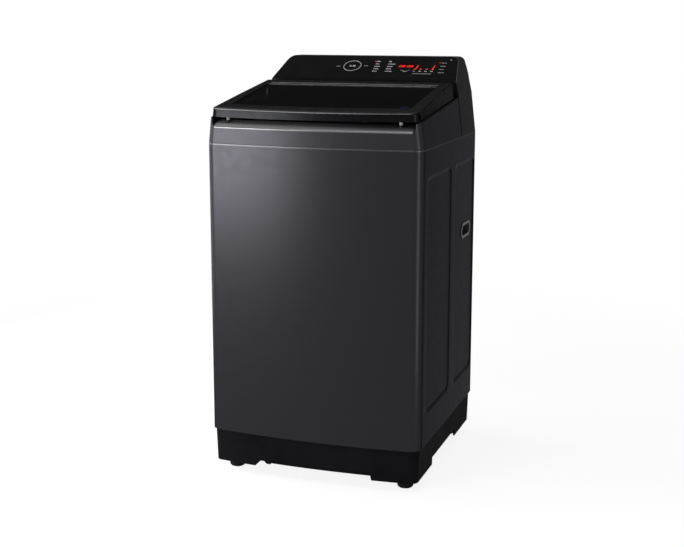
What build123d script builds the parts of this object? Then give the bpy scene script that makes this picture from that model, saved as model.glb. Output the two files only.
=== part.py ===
"""Domestic top load washing machine, real size, in millimetres.

The frame has +Z up, the front towards -Y and the origin at the middle of the footprint on the floor.
The drum turns about the Z axis.
"""

import os
from math import atan2, cos, degrees, hypot, radians, sin, sqrt, tan

from build123d import *

# Cabinet
width = 540.0
side_depth = 520.0
front_bow = 18.0
rear_reach = 25.0
front_corner_radius = 26.0
rear_corner_radius = 8.0
least_radius = 1.0
sheet = 1.2
base_top = 109.0
seam_height = 824.0
flange_width = 14.0
rear_flange_width = 26.0

# Pressed fields in the cabinet sides
press_depth = 2.0
press_slope = 10.0
press_foot = 86.0
press_head = 74.0
press_corner = 16.0
press_front_start = 52.0
press_front_length = 208.0
press_gap_length = 52.0
press_rear_end = 23.0

# Carry handles
handle_length = 84.0
handle_height = 30.0
handle_depth = 26.0
handle_wall = 2.0
handle_rim = 5.0
handle_rim_thickness = 1.6
handle_drop = 175.0
handle_setback = 24.0
handle_fit = 0.3
handle_rim_edge = 0.8

# Back panel
back_sheet = 0.8
back_margin = 9.0
back_raise = 8.0
back_field_margin = 20.0
back_field_slope = 8.0
back_corner = 12.0
screw_radius = 2.0
screw_head_radius = 4.5
screw_head_height = 2.5
screw_length = 9.0
screw_clearance = 0.1
screw_margin = 9.0
screw_end_margin = 34.0
screw_rows = 5

# Base
skirt_inset = 5.0
skirt_wall = 4.0
skirt_bottom = 26.0
skirt_draft = 2.0
rim_width = 24.0
rim_thickness = 5.0
skirt_mid_lift = 19.0
skirt_mid_left = -108.0
skirt_mid_right = 148.0
strip_lift = 9.0
strip_setback = 6.0
strip_web = 4.0
grip_notch_x = -130.0
grip_notch_width = 10.0
grip_notch_slope = 15.0
grip_notch_lift = 15.0
side_lift = 19.0
side_lift_length = 225.0
rear_lift_length = 360.0
lift_reach = 40.0
shelf_reach = 62.0
gusset_thickness = 5.0
gusset_size = 84.0
boss_radius = 17.0
boss_recess = 4.0
boss_top = 72.0
shelf_thickness = 5.0
shelf_drop = 8.0

# Feet
foot_radius = 20.0
foot_toe_radius = 12.0
foot_toe_height = 8.0
foot_stem_radius = 6.0
foot_stem_clearance = 0.3
foot_stem_top = 66.0
foot_margin_x = 48.0
foot_front_margin = 50.0
foot_rear_margin = 56.0
lock_nut_height = 6.0
lock_nut_radius = 12.0
nut_sides = 6

# Top frame
top_wall = 3.0
lean_drop = 91.0
lean_in = 12.0
shoulder_drop = 55.0
shoulder_in = 20.0
crown_in = 37.0
crown_radius = 18.0
console_depth = 151.0
console_edge_radius = 8.0
rim_edge_radius = 6.0
rim_over = 0.2
ledge_edge_radius = 2.0
seam_groove = 1.2
ledge_lift = 5.0
ledge_rise = 37.0
ledge_width = 9.0
deck_rise = 56.0
rim_drop = 14.0
scoop_reach = 30.0
scoop_margin = 17.0
scoop_corner = 18.0
trough_length = 62.0
opening_side = 80.0
opening_front = 58.0
opening_rear = 2.0
opening_corner = 55.0
collar_depth = 42.0

# Console face
face_lift = 81.0
face_rise = 59.0
face_tilt = 31.0
fascia = 3.0
band_groove = 9.0
groove_width = 1.2
groove_depth = 0.6
board_thickness = 1.6
board_depth = 14.0
board_left = -82.0
board_margin = 51.0
board_low = 22.0
board_head = 12.5
board_corner = 4.0
board_post_radius = 3.5
board_post_margin = 5.0
window_clearance = 4.0
key_travel = 1.0
key_clearance = 0.3
key_flange = 1.5
key_flange_thickness = 1.2
key_stem_radius = 2.5
key_stem_depth = 10.0
switch_radius = 3.5
switch_gap = 0.3
start_key_x = -44.0
start_key_up = 65.5
start_key_radius = 22.0
course_key_margin = 165.0
course_key_up = 46.5
course_key_length = 32.0
course_key_height = 10.0
option_key_margin = 64.0
option_key_levels = (84.0, 69.0, 54.0, 39.0)
option_key_length = 26.0
option_key_height = 8.0
key_corner = 2.0
lens_up = 71.0
lens_length = 50.0
lens_height = 25.0
lens_flange = 2.5
lens_flange_thickness = 1.5
module_length = 44.0
module_height = 19.0
module_gap = 0.5

# Lid
lid_inset = 4.0
lid_wall = 3.0
lid_top = 8.0
lid_lift = 24.0
lid_rise = 56.2
lid_gap = 2.5
lid_bar = 28.0
lid_edge_radius = 2.5
hinge_setback = 36.0
hinge_drop = 31.0
lid_tail_angle = 48.0
hinge_pin_radius = 4.0
hinge_clearance = 0.08
ear_radius = 12.0
ear_margin = 44.0
ear_width = 8.0
post_gap = 2.0
post_width = 7.0
damper_radius = 11.0
damper_length = 28.0
damper_foot = 17.6
damper_gap = 1.5
damper_grip = 9.0
glass_side = 44.0
glass_front = 52.0
glass_setback = 53.0
glass_bow = 12.0
glass_corner = 12.0
glass_thickness = 4.0
glass_recess = 1.2
glass_clearance = 0.6
glass_ledge = 9.0
trim_length = 21.0
trim_thickness = 4.6
bumper_radius = 4.0
bumper_margin = 55.0
bumper_setback = 18.0
bumper_clearance = 0.3
bumper_foot = 6.0
bumper_crown = 2.8

# Detergent dispenser
dispenser_x = -25.0
dispenser_width = 190.0
dispenser_depth = 145.0
dispenser_height = 37.0
dispenser_wall = 2.5
drawer_clearance = 0.8
drawer_wall = 2.0
drawer_lift = 0.3
drawer_length = 136.0
drawer_pull = 6.0
drawer_pull_width = 60.0
drawer_pull_height = 5.0
drawer_pull_corner = 1.6
drawer_front = 4.0
drawer_divider_x = 20.0
outlet_slot_length = 60.0
outlet_slot_width = 12.0

# Water inlet and drain at the rear
valve_margin = 120.0
valve_lift = 47.0
valve_size = 44.0
inlet_radius = 13.2
inlet_clearance = 0.8
inlet_nut_radius = 18.0
inlet_nut_thickness = 2.5
inlet_bore = 8.0
inlet_bore_length = 20.0
nozzle_radius = 8.0
nozzle_length = 14.0
nozzle_drop = 8.0
inlet_hose_radius = 8.0
inlet_hose_bore = 6.0
inlet_hose_bend = 22.0
inlet_hose_run = 70.0
drain_margin = 70.0
drain_lift = 121.0
drain_radius = 15.0
drain_bore = 12.0
drain_flange_radius = 24.0
drain_flange_thickness = 3.0
drain_clearance = 0.5
drain_neck = 14.0
gland_margin = 90.0
gland_drop = 104.0
gland_radius = 10.0
gland_bore = 4.5
gland_flange_radius = 15.0
gland_flange_thickness = 4.0
gland_neck = 8.0

# Tub and its suspension
tub_side_gap = 38.0
tub_rear_gap = 28.0
tub_wall = 3.0
tub_lift = 179.0
tub_floor_thickness = 4.0
tub_head = 24.0
tub_flange = 8.0
tub_flange_height = 8.0
cover_thickness = 12.0
cover_edge_radius = 4.0
cover_width = 42.0
rod_margin_x = 62.0
rod_front_margin = 60.0
rod_rear_margin = 52.0
rod_radius = 4.5
rod_clearance = 1.5
rod_head_radius = 10.0
rod_head_height = 8.0
bracket_drop = 24.0
bracket_thickness = 5.0
bracket_reach = 22.0
lug_lift = 42.0
lug_thickness = 16.0
lug_width = 44.0
lug_tip = 18.0
cup_radius = 24.0
cup_wall = 2.5
cup_length = 50.0
piston_clearance = 0.6
piston_drop = 68.0
piston_thickness = 8.0
spring_radius = 16.0
spring_wire = 4.0
spring_gap = 0.3
sump_inset = 40.0
sump_turn = 128.66
sump_radius = 17.0
sump_bore = 14.0
sump_length = 20.0

# Bearings, shafts and motor
housing_flange_radius = 120.0
housing_flange_thickness = 8.0
housing_radius = 36.0
housing_drop = 83.0
housing_rise = 8.0
housing_clearance = 0.4
housing_foot_radius = 82.0
housing_foot_thickness = 6.0
housing_rib = 6.0
housing_ribs = 6
housing_rib_turn = 30.0
bearing_radius = 26.0
bearing_height = 14.0
bearing_shoulder = 3.0
press_gap = 0.02
running_gap = 0.05
spin_shaft_radius = 15.0
spin_shaft_drop = 124.0
wash_shaft_radius = 9.0
wash_shaft_drop = 160.0
hub_radius = 75.0
hub_thickness = 8.0
stator_outer = 105.0
stator_inner = 50.0
stator_yoke = 72.0
stator_drop = 128.0
stator_height = 24.0
stator_teeth = 24
stator_tooth = 9.0
coil_height = 16.0
stator_post_radius = 7.0
stator_post_circle = 61.0
stator_posts = 3
stator_post_turn = 60.0
rotor_radius = 118.0
rotor_wall = 5.0
rotor_drop = 140.0
rotor_floor_thickness = 5.0
rotor_height = 42.0
rotor_hub_radius = 22.0
rotor_hub_height = 14.0
magnet_thickness = 5.5
magnet_height = 32.0
nut_radius = 14.0
nut_height = 12.0

# Clutch
coupler_radius = 26.0
coupler_drop = 116.0
coupler_height = 20.0
coupler_flange_radius = 34.0
coupler_flange_thickness = 4.0
coupler_flange_drop = 2.0
lever_gap = 1.2
lever_thickness = 5.0
lever_width = 16.0
lever_inner = 31.0
lever_outer = 150.0
lever_pivot_x = 70.0
lever_pivot_radius = 3.0
lever_pivot_lift = 6.5
lever_ear_width = 5.0
lever_ear_gap = 0.6
plunger_x = 140.0
plunger_radius = 4.0
plunger_neck = 2.5
plunger_head_radius = 6.0
plunger_head_height = 3.5
plunger_gap = 1.7
plunger_clearance = 0.3
plunger_length = 46.0
slot_play = 4.0
actuator_x = 126.0
actuator_length = 42.0
actuator_width = 44.0
actuator_drop = 66.0
actuator_bore_length = 44.0

# Basket and pulsator
basket_gap = 18.0
basket_wall = 1.0
basket_lift = 34.0
basket_head = 40.0
basket_base_thickness = 8.0
basket_base_hole = 24.0
basket_lip_width = 6.0
basket_lip_height = 16.0
basket_lip_gap = 0.1
balance_width = 30.0
balance_depth = 16.0
balance_rise = 26.0
balance_overhang = 3.0
balance_gap = 0.3
filter_width = 74.0
filter_height = 150.0
filter_depth = 16.0
filter_lift = 238.0
filter_corner = 10.0
filter_gap = 0.2
pulsator_margin = 46.0
pulsator_gap = 8.0
pulsator_thickness = 6.0
pulsator_hub_radius = 30.0
pulsator_hub_height = 28.0
pulsator_vanes = 6
vane_width = 14.0
vane_start = 26.0
vane_margin = 8.0
vane_height = 22.0
shaft_seat = 4.0
cap_radius = 25.0
cap_height = 9.0
cap_crown = 7.2

# Drain pump
pump_radius = 34.0
pump_volute_radius = 44.0
pump_motor_height = 49.0
pump_volute_height = 22.0
pump_wall = 3.0
pump_neck_length = 16.0
pump_outlet_radius = 12.0
pump_outlet_length = 10.0
pump_outlet_bore = 9.0
impeller_radius = 26.0
impeller_gap = 1.0
impeller_plate = 2.5
impeller_blade_height = 9.0
impeller_blade = 3.0
impeller_blades = 6
impeller_shaft_radius = 3.0
impeller_shaft_length = 14.0
bellows_wall = 3.0
bellows_gap = 0.3
drain_hose_bend = 14.0

half_width = width / 2
total_depth = front_bow + side_depth + rear_reach
front_y = -total_depth / 2
chord_y = front_y + front_bow
rear_y = chord_y + side_depth
back_y = rear_y + rear_reach
bow_radius = (half_width**2 + front_bow**2) / (2 * front_bow)
bow_centre_y = front_y + bow_radius
riser_depth = side_depth - console_depth
riser_y = chord_y + riser_depth

# Levels of the base, the cabinet, the deck and the console
shelf_top = base_top - shelf_drop
press_low = base_top + press_foot
press_high = seam_height - press_head
handle_level = press_high - handle_drop
deck_height = seam_height + deck_rise
front_rim = deck_height - rim_drop
ledge_front = deck_height + ledge_lift
collar_bottom = deck_height - collar_depth
lid_front_height = deck_height + lid_lift
face_bottom = deck_height + face_lift
console_top = face_bottom + face_rise
lean_height = console_top - lean_drop
shoulder_height = console_top - shoulder_drop
valve_level = deck_height + valve_lift
drain_level = base_top + drain_lift
gland_level = seam_height - gland_drop
far = 2 * (width + side_depth + console_top)

# Places that follow the width and the depth
press_rear_start = press_front_start + press_front_length + press_gap_length
press_rear_length = side_depth - press_rear_start - press_rear_end
opening_width = width - 2 * opening_side
opening_length = riser_depth - trough_length - opening_rear - opening_front
hinge_y = riser_y - hinge_setback
lid_pitch = degrees(atan2(lid_rise, hinge_y - front_y))
glass_rear = (hinge_y - chord_y) / cos(radians(lid_pitch)) - glass_setback
glass_half = half_width - glass_side
ear_inner = half_width - ear_margin
bumper_x = half_width - bumper_margin
board_right = half_width - board_margin
board_high = face_rise / sin(radians(face_tilt)) - board_head
course_key_x = half_width - course_key_margin
option_key_x = half_width - option_key_margin
valve_x = half_width - valve_margin
drain_x = drain_margin - half_width
gland_x = half_width - gland_margin

# Tub, basket and drive follow the room inside the cabinet
tub_radius = min(half_width - tub_side_gap, side_depth / 2 - tub_rear_gap)
tub_floor = base_top + tub_lift
tub_top = seam_height - tub_head
cover_inner = tub_radius - cover_width
bracket_level = seam_height - bracket_drop
lug_level = tub_floor + lug_lift
piston_level = lug_level - piston_drop
sump_x = (tub_radius - sump_inset) * cos(radians(sump_turn))
sump_y = (tub_radius - sump_inset) * sin(radians(sump_turn))
housing_bottom = tub_floor - housing_drop
spin_shaft_bottom = tub_floor - spin_shaft_drop
wash_shaft_bottom = tub_floor - wash_shaft_drop
stator_bottom = tub_floor - stator_drop
rotor_floor = tub_floor - rotor_drop
coupler_bottom = tub_floor - coupler_drop
actuator_bottom = tub_floor - actuator_drop
basket_radius = tub_radius - basket_gap
basket_bottom = tub_floor + basket_lift
basket_top = tub_top - basket_head
balance_inner = basket_radius - balance_width
balance_low = basket_top - balance_depth
balance_top = basket_top + balance_rise
filter_level = basket_bottom + filter_lift
pulsator_radius = basket_radius - pulsator_margin
vane_end = pulsator_radius - vane_margin
pump_volute_low = shelf_top + pump_motor_height


def bow_y(x, inset=0.0):
    """Depth of the bowed front at x, drawn in by inset."""
    return bow_centre_y - sqrt((bow_radius - inset) ** 2 - x**2)


def plan_outline(inset=0.0, lean=0.0):
    """Outline seen from above, drawn in all round by inset and at the sides by lean, with a bowed front."""
    half = half_width - inset - lean
    side_y = bow_y(half, inset)
    with BuildSketch() as outline:
        with BuildLine():
            front = ThreePointArc((-half, side_y), (0, front_y + inset), (half, side_y))
            Polyline(front @ 1, (half, rear_y - inset), (-half, rear_y - inset), front @ 0)
        make_face()
        fillet(outline.vertices().group_by(Axis.Y)[0], max(front_corner_radius - inset, least_radius))
        fillet(outline.vertices().group_by(Axis.Y)[-1], max(rear_corner_radius - inset, least_radius))
    return outline.sketch


def front_profile(inset=0.0):
    """Console seen from the front, drawn in by inset: sloping shoulders over wider sides, flat crown."""
    right = [
        (half_width + lean_in, base_top),
        (half_width + lean_in, shoulder_height),
        (half_width - shoulder_in, shoulder_height),
        (half_width - crown_in, console_top),
    ]
    left = [(-x, z) for x, z in reversed(right)]
    with BuildSketch() as profile:
        with BuildLine():
            Polyline(*right, *left, close=True)
        make_face()
        fillet(profile.vertices().group_by(Axis.Y)[-1], crown_radius)
        if inset:
            offset(amount=-inset, mode=Mode.REPLACE)
    return profile.sketch


def ledge_z(y):
    """Height of the top frame's side edge, which rises towards the rear."""
    return ledge_front + ledge_rise * (y - chord_y) / riser_depth


def lid_z(y):
    """Height of the lid's top face."""
    return lid_front_height + (y - front_y) * tan(radians(lid_pitch))


def side_block(points):
    """Solid with the given outline seen from the side, as wide as the whole machine."""
    with BuildPart() as block:
        with BuildSketch(Plane.YZ):
            with BuildLine():
                Polyline(*points, close=True)
            make_face()
        extrude(amount=width, both=True)
    return block.part


def rounded_prism(outline, low, high):
    """Upright prism on an outline between two heights."""
    with BuildPart() as prism:
        with BuildSketch(Plane.XY.offset(low)):
            add(outline)
        extrude(amount=high - low)
    return prism.part


def leaning_prism(inset, low, high):
    """Cabinet outline drawn in by inset, between two heights, with the top frame's leaning sides."""
    leans = (
        (base_top, 0.0),
        (seam_height, 0.0),
        (lean_height, lean_in),
        (shoulder_height, shoulder_in),
        (console_top, shoulder_in),
    )
    with BuildPart() as prism:
        loft(
            sections=[Plane.XY.offset(level) * plan_outline(inset, lean) for level, lean in leans],
            ruled=True,
        )
        with BuildSketch(Plane.XY.offset(low)):
            Rectangle(2 * width, 2 * total_depth)
        extrude(amount=high - low, mode=Mode.INTERSECT)
        with BuildSketch(Plane.XZ):
            add(front_profile(inset))
        extrude(amount=far, both=True, mode=Mode.INTERSECT)
    return prism.part


def tube(outer, bore, low, high):
    """Upright round tube about the drum axis."""
    with BuildPart() as ring:
        with BuildSketch(Plane.XY.offset(low)):
            Circle(outer)
            Circle(bore, mode=Mode.SUBTRACT)
        extrude(amount=high - low)
    return ring.part


def finish(piece, name):
    """Name a finished piece and write it out."""
    piece.part.label = name
    export_step(piece.part, f"parts/{name}.step")


os.makedirs("parts", exist_ok=True)

# Steel cabinet: front and both sides in one sheet, return flanges at the top, the foot and the rear
press_middle = (press_low + press_high) / 2
press_fields = (
    (chord_y + press_front_start, press_front_length),
    (chord_y + press_rear_start, press_rear_length),
)
handle_y = press_fields[1][0] + press_rear_length / 2 + handle_setback
pressed_face = half_width - press_depth
screw_x = half_width - back_margin - screw_margin
screw_low = base_top + screw_end_margin
screw_high = seam_height - screw_end_margin
screw_step = (screw_high - screw_low) / (screw_rows - 1)
screw_levels = [screw_low + row * screw_step for row in range(screw_rows)]
screw_points = [(side * screw_x, level) for side in (-1, 1) for level in screw_levels]


def press_section(side, start, length, from_middle, grow):
    """Section of one pressed field at a distance from the machine's middle plane."""
    with BuildSketch(Plane.YZ.offset(side * from_middle)) as section:
        with Locations((start + length / 2, press_middle)):
            RectangleRounded(length + 2 * grow, press_high - press_low + 2 * grow, press_corner + grow)
    return section.sketch


def press_form(side, start, length, outer):
    """One pressed field as a solid: sloping sides, widest at the outer face."""
    with BuildPart() as form:
        loft(
            sections=[
                press_section(side, start, length, outer - press_depth, 0),
                press_section(side, start, length, outer, press_slope),
            ]
        )
    return form.part


with BuildPart() as cabinet_core:
    add(rounded_prism(plan_outline(sheet), base_top + sheet, seam_height - sheet))
    for side in (-1, 1):
        for start, length in press_fields:
            add(press_form(side, start, length, half_width - sheet), mode=Mode.SUBTRACT)

with BuildPart() as cabinet_shell:
    add(rounded_prism(plan_outline(), base_top, seam_height))
    for side in (-1, 1):
        for start, length in press_fields:
            add(press_form(side, start, length, half_width), mode=Mode.SUBTRACT)
    add(cabinet_core.part, mode=Mode.SUBTRACT)
    with BuildSketch(Plane.XY.offset(base_top)):
        add(plan_outline(flange_width))
    extrude(amount=seam_height - base_top, mode=Mode.SUBTRACT)
    with BuildSketch(Plane.XZ.offset(-rear_y)):
        with Locations((0, (base_top + seam_height) / 2)):
            Rectangle(width - 2 * rear_flange_width, seam_height - base_top - 2 * rear_flange_width)
    extrude(amount=flange_width, mode=Mode.SUBTRACT)
    with BuildSketch(Plane.YZ):
        with Locations((handle_y, handle_level)):
            SlotOverall(handle_length, handle_height)
    extrude(amount=width, both=True, mode=Mode.SUBTRACT)
    with BuildSketch(Plane.XZ.offset(-rear_y)):
        with Locations(*screw_points):
            Circle(screw_radius + screw_clearance)
    extrude(amount=flange_width, mode=Mode.SUBTRACT)
finish(cabinet_shell, "cabinet_shell")

# Carry handles: round-ended plastic cups in the rear pressed fields, with a rim outside
for side, name in ((-1, "carry_handle_left"), (1, "carry_handle_right")):
    with BuildPart() as carry_handle:
        rim_size = (handle_length + 2 * handle_rim, handle_height + 2 * handle_rim)
        cup_size = (handle_length - 2 * handle_fit, handle_height - 2 * handle_fit)
        with BuildSketch(Plane.YZ.offset(side * pressed_face)):
            with Locations((handle_y, handle_level)):
                SlotOverall(*rim_size)
        extrude(amount=side * handle_rim_thickness)
        with BuildSketch(Plane.YZ.offset(side * pressed_face)):
            with Locations((handle_y, handle_level)):
                SlotOverall(*cup_size)
        extrude(amount=-side * handle_depth)
        with BuildSketch(Plane.YZ.offset(side * (pressed_face + handle_rim_thickness))):
            with Locations((handle_y, handle_level)):
                SlotOverall(cup_size[0] - 2 * handle_wall, cup_size[1] - 2 * handle_wall)
        extrude(amount=-side * (handle_rim_thickness + handle_depth - handle_wall), mode=Mode.SUBTRACT)
        rim_face = carry_handle.faces().sort_by(Axis.X)[-1 if side > 0 else 0]
        fillet(rim_face.edges(), handle_rim_edge)
    finish(carry_handle, name)

# Back panel: thin sheet with a raised field, screwed on the cabinet's rear flanges
back_middle = (base_top + seam_height) / 2
back_width = width - 2 * back_margin
back_height = seam_height - base_top - 2 * back_margin
field_y = rear_y + back_sheet + back_raise


def back_section(behind, margin):
    """Rounded outline on the back, at a distance behind the steel sides."""
    with BuildSketch(Plane.XZ.offset(-(rear_y + behind))) as section:
        with Locations((0, back_middle)):
            RectangleRounded(back_width - 2 * margin, back_height - 2 * margin, back_corner)
    return section.sketch


with BuildPart() as back_panel:
    extrude(back_section(0, 0), amount=-back_sheet)
    loft(
        sections=[
            back_section(back_sheet, back_field_margin),
            back_section(back_sheet + back_raise, back_field_margin + back_field_slope),
        ]
    )
    loft(
        sections=[
            back_section(0, back_field_margin),
            back_section(back_raise, back_field_margin + back_field_slope),
        ],
        mode=Mode.SUBTRACT,
    )
    with BuildSketch(Plane.XZ.offset(-rear_y)):
        with Locations(*screw_points):
            Circle(screw_radius + screw_clearance)
        with Locations((gland_x, gland_level)):
            Circle(gland_radius + drain_clearance)
        with Locations((drain_x, drain_level)):
            Circle(drain_radius + drain_clearance)
    extrude(amount=-2 * (back_sheet + back_raise), mode=Mode.SUBTRACT)
finish(back_panel, "back_panel")

with BuildPart() as back_panel_screws:
    with BuildSketch(Plane.XZ.offset(-(rear_y + back_sheet))):
        with Locations(*screw_points):
            Circle(screw_head_radius)
    extrude(amount=-screw_head_height)
    fillet(back_panel_screws.faces().group_by(Axis.Y)[-1].edges(), screw_head_height / 2)
    with BuildSketch(Plane.XZ.offset(-(rear_y + back_sheet))):
        with Locations(*screw_points):
            Circle(screw_radius)
    extrude(amount=screw_length)
finish(back_panel_screws, "back_panel_screws")

# Base: plastic skirt with a rim under the steel, a boss for each foot and a shelf for the drain pump
foot_x = half_width - foot_margin_x
foot_front_y = chord_y + foot_front_margin
foot_rear_y = rear_y - foot_rear_margin
foot_points = [(side * foot_x, y) for y in (foot_front_y, foot_rear_y) for side in (-1, 1)]
boss_bottom = skirt_bottom + boss_recess


def skirt_strip(outer, inner):
    """Ring between two insets of the outline, as far as it lies behind the raised middle of the skirt."""
    strip_left = skirt_mid_left - skirt_wall - strip_setback
    strip_end = front_y + lift_reach
    with BuildSketch() as ring:
        with BuildLine():
            Polyline(
                (strip_left, 2 * front_y),
                (skirt_mid_right, 2 * front_y),
                (skirt_mid_right, strip_end),
                (strip_left, strip_end),
                close=True,
            )
        make_face()
        add(plan_outline(outer), mode=Mode.INTERSECT)
        add(plan_outline(inner), mode=Mode.SUBTRACT)
    return ring.sketch


with BuildPart() as base:
    with BuildSketch(Plane.XY.offset(base_top)):
        add(plan_outline(skirt_inset))
    extrude(amount=-(base_top - skirt_bottom), taper=skirt_draft)
    with BuildSketch(Plane.XY.offset(base_top)):
        add(plan_outline(skirt_inset + skirt_wall))
    extrude(amount=-(base_top - skirt_bottom), taper=skirt_draft, mode=Mode.SUBTRACT)
    with BuildSketch(Plane.XY.offset(base_top)):
        add(plan_outline(skirt_inset))
        add(plan_outline(skirt_inset + rim_width), mode=Mode.SUBTRACT)
    extrude(amount=-rim_thickness)
    with BuildSketch(Plane.XY.offset(boss_bottom)):
        for x, y in foot_points:
            with Locations((x, y)):
                Rectangle(gusset_size, gusset_size)
        add(plan_outline(skirt_inset + skirt_wall), mode=Mode.INTERSECT)
    extrude(amount=gusset_thickness)
    with BuildSketch(Plane.XY.offset(boss_bottom)):
        with Locations(*foot_points):
            Circle(boss_radius)
    extrude(amount=boss_top - boss_bottom)
    with BuildSketch(Plane.XY.offset(shelf_top)):
        with BuildLine():
            shelf_x = sump_x + shelf_reach
            shelf_y = sump_y - shelf_reach
            Polyline((-width, shelf_y), (shelf_x, shelf_y), (shelf_x, width), (-width, width), close=True)
        make_face()
        add(plan_outline(skirt_inset + skirt_wall / 2), mode=Mode.INTERSECT)
    extrude(amount=-shelf_thickness)
    with BuildSketch(Plane.XY.offset(boss_bottom)):
        with Locations(*foot_points):
            Circle(foot_stem_radius + foot_stem_clearance)
    extrude(amount=boss_top - boss_bottom, mode=Mode.SUBTRACT)
    with BuildSketch(Plane.XZ.offset(-(front_y + lift_reach))):
        with BuildLine():
            lift_z = skirt_bottom + skirt_mid_lift
            Polyline(
                (skirt_mid_left, 0),
                (skirt_mid_left, lift_z),
                (skirt_mid_right, lift_z),
                (skirt_mid_right + skirt_mid_lift / 2, 0),
                close=True,
            )
        make_face()
        with BuildLine():
            notch_left = grip_notch_x - grip_notch_width / 2
            notch_right = grip_notch_x + grip_notch_width / 2
            notch_z = skirt_bottom + grip_notch_lift
            Polyline(
                (notch_left - grip_notch_slope, 0),
                (notch_left - grip_notch_slope, skirt_bottom),
                (notch_left, notch_z),
                (notch_right, notch_z),
                (notch_right + grip_notch_slope, skirt_bottom),
                (notch_right + grip_notch_slope, 0),
                close=True,
            )
        make_face()
        with BuildLine():
            strip_low = skirt_bottom + strip_lift
            Polyline(
                (notch_right, 0),
                (notch_right, strip_low),
                (skirt_mid_right, strip_low),
                (skirt_mid_right, 0),
                close=True,
            )
        make_face()
    extrude(amount=2 * lift_reach, mode=Mode.SUBTRACT)
    strip_inset = skirt_inset + skirt_wall + strip_setback
    strip_top = lift_z + strip_web
    with BuildSketch(Plane.XY.offset(strip_low)):
        add(skirt_strip(strip_inset, strip_inset + skirt_wall))
    extrude(amount=strip_top - strip_low)
    with BuildSketch(Plane.XY.offset(lift_z)):
        add(skirt_strip(skirt_inset + skirt_wall, strip_inset + skirt_wall))
    extrude(amount=strip_web)
    with BuildSketch(Plane.YZ):
        with Locations((chord_y + side_depth / 2, 0)):
            Rectangle(side_lift_length, 2 * (skirt_bottom + side_lift))
    extrude(amount=width, both=True, mode=Mode.SUBTRACT)
    with BuildSketch(Plane.XZ.offset(-(rear_y - lift_reach / 2))):
        Rectangle(rear_lift_length, 2 * (skirt_bottom + side_lift))
    extrude(amount=-2 * lift_reach, mode=Mode.SUBTRACT)
finish(base, "base")


def foot_profile(height):
    """Half section of a foot: rounded rubber pad under a steel stem."""
    with BuildSketch() as profile:
        with BuildLine():
            sole = Line((0, 0), (foot_toe_radius, 0))
            toe = TangentArc(sole @ 1, (foot_radius, foot_toe_height), tangent=sole % 1)
            Polyline(
                toe @ 1,
                (foot_radius, height),
                (foot_stem_radius, height),
                (foot_stem_radius, foot_stem_top),
                (0, foot_stem_top),
                (0, 0),
            )
        make_face()
    return profile.sketch


# Front feet screw in and out for levelling and are held by lock nuts
front_pad_height = boss_bottom - lock_nut_height
for side, name in ((-1, "front_left_foot"), (1, "front_right_foot")):
    with BuildPart() as front_foot:
        with BuildSketch(Plane((side * foot_x, foot_front_y, 0), x_dir=(1, 0, 0), z_dir=(0, -1, 0))):
            add(foot_profile(front_pad_height))
        revolve(axis=Axis((side * foot_x, foot_front_y, 0), (0, 0, 1)))
    finish(front_foot, name)

with BuildPart() as foot_lock_nuts:
    with BuildSketch(Plane.XY.offset(front_pad_height)):
        with Locations((-foot_x, foot_front_y), (foot_x, foot_front_y)):
            RegularPolygon(lock_nut_radius, nut_sides)
            Circle(foot_stem_radius + foot_stem_clearance, mode=Mode.SUBTRACT)
    extrude(amount=lock_nut_height)
finish(foot_lock_nuts, "foot_lock_nuts")

# Rear feet have a fixed height
with BuildPart() as rear_feet:
    for side in (-1, 1):
        with BuildSketch(Plane((side * foot_x, foot_rear_y, 0), x_dir=(1, 0, 0), z_dir=(0, -1, 0))):
            add(foot_profile(boss_bottom))
        revolve(axis=Axis((side * foot_x, foot_rear_y, 0), (0, 0, 1)))
finish(rear_feet, "rear_feet")

# Top frame: leaning sides, deck with the loading mouth, finger ramp at the front, console body at the rear
tilt = radians(face_tilt)
face_top_y = riser_y + face_rise / tan(tilt)
face_plane = Plane(origin=(0, riser_y, face_bottom), x_dir=(1, 0, 0), z_dir=(0, -sin(tilt), cos(tilt)))
pitch = radians(lid_pitch)
hinge_z = lid_z(hinge_y) - hinge_drop / cos(pitch)
trough_y = riser_y - trough_length
opening_y = chord_y + opening_front + opening_length / 2
opening_rear_y = opening_y + opening_length / 2
post_inner = ear_inner + ear_width + post_gap
dispenser_top = deck_height - top_wall
dispenser_low = dispenser_top - dispenser_height
dispenser_y = opening_rear_y + top_wall
board_middle = ((board_left + board_right) / 2, (board_low + board_high) / 2)
board_size = (board_right - board_left, board_high - board_low)


def face_point(up, depth):
    """Point seen from the side, some way up the console face and some depth behind it."""
    return (
        riser_y + up * cos(tilt) + depth * sin(tilt),
        face_bottom + up * sin(tilt) - depth * cos(tilt),
    )


def above_face(depth):
    """Everything outside the plane that lies some depth behind the console face."""
    end = face_point(face_rise / sin(tilt) + width, depth)
    start = face_point(-depth * tan(tilt), depth)
    return side_block([start, end, (end[0], far), (riser_y, far)])


with BuildPart() as top_mass:
    add(leaning_prism(0, seam_height, console_top))
    with BuildSketch(Plane.YZ) as side_view:
        with BuildLine():
            Polyline(
                (2 * front_y, 0),
                (2 * front_y, ledge_z(2 * front_y)),
                (riser_y, ledge_z(riser_y)),
                (riser_y, face_bottom),
                (face_top_y, console_top),
                (rear_y, console_top),
                (rear_y, 0),
                close=True,
            )
        make_face()
        fillet(side_view.vertices().group_by(Axis.Y)[-1], console_edge_radius)
    extrude(amount=width, both=True, mode=Mode.INTERSECT)

with BuildPart() as console_cavity:
    add(leaning_prism(top_wall, front_rim - 2 * top_wall, console_top - top_wall))
    add(
        side_block([(riser_y + top_wall, 0), (riser_y + top_wall, far), (2 * rear_y, far), (2 * rear_y, 0)]),
        mode=Mode.INTERSECT,
    )
    add(above_face(fascia + top_wall), mode=Mode.SUBTRACT)

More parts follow.
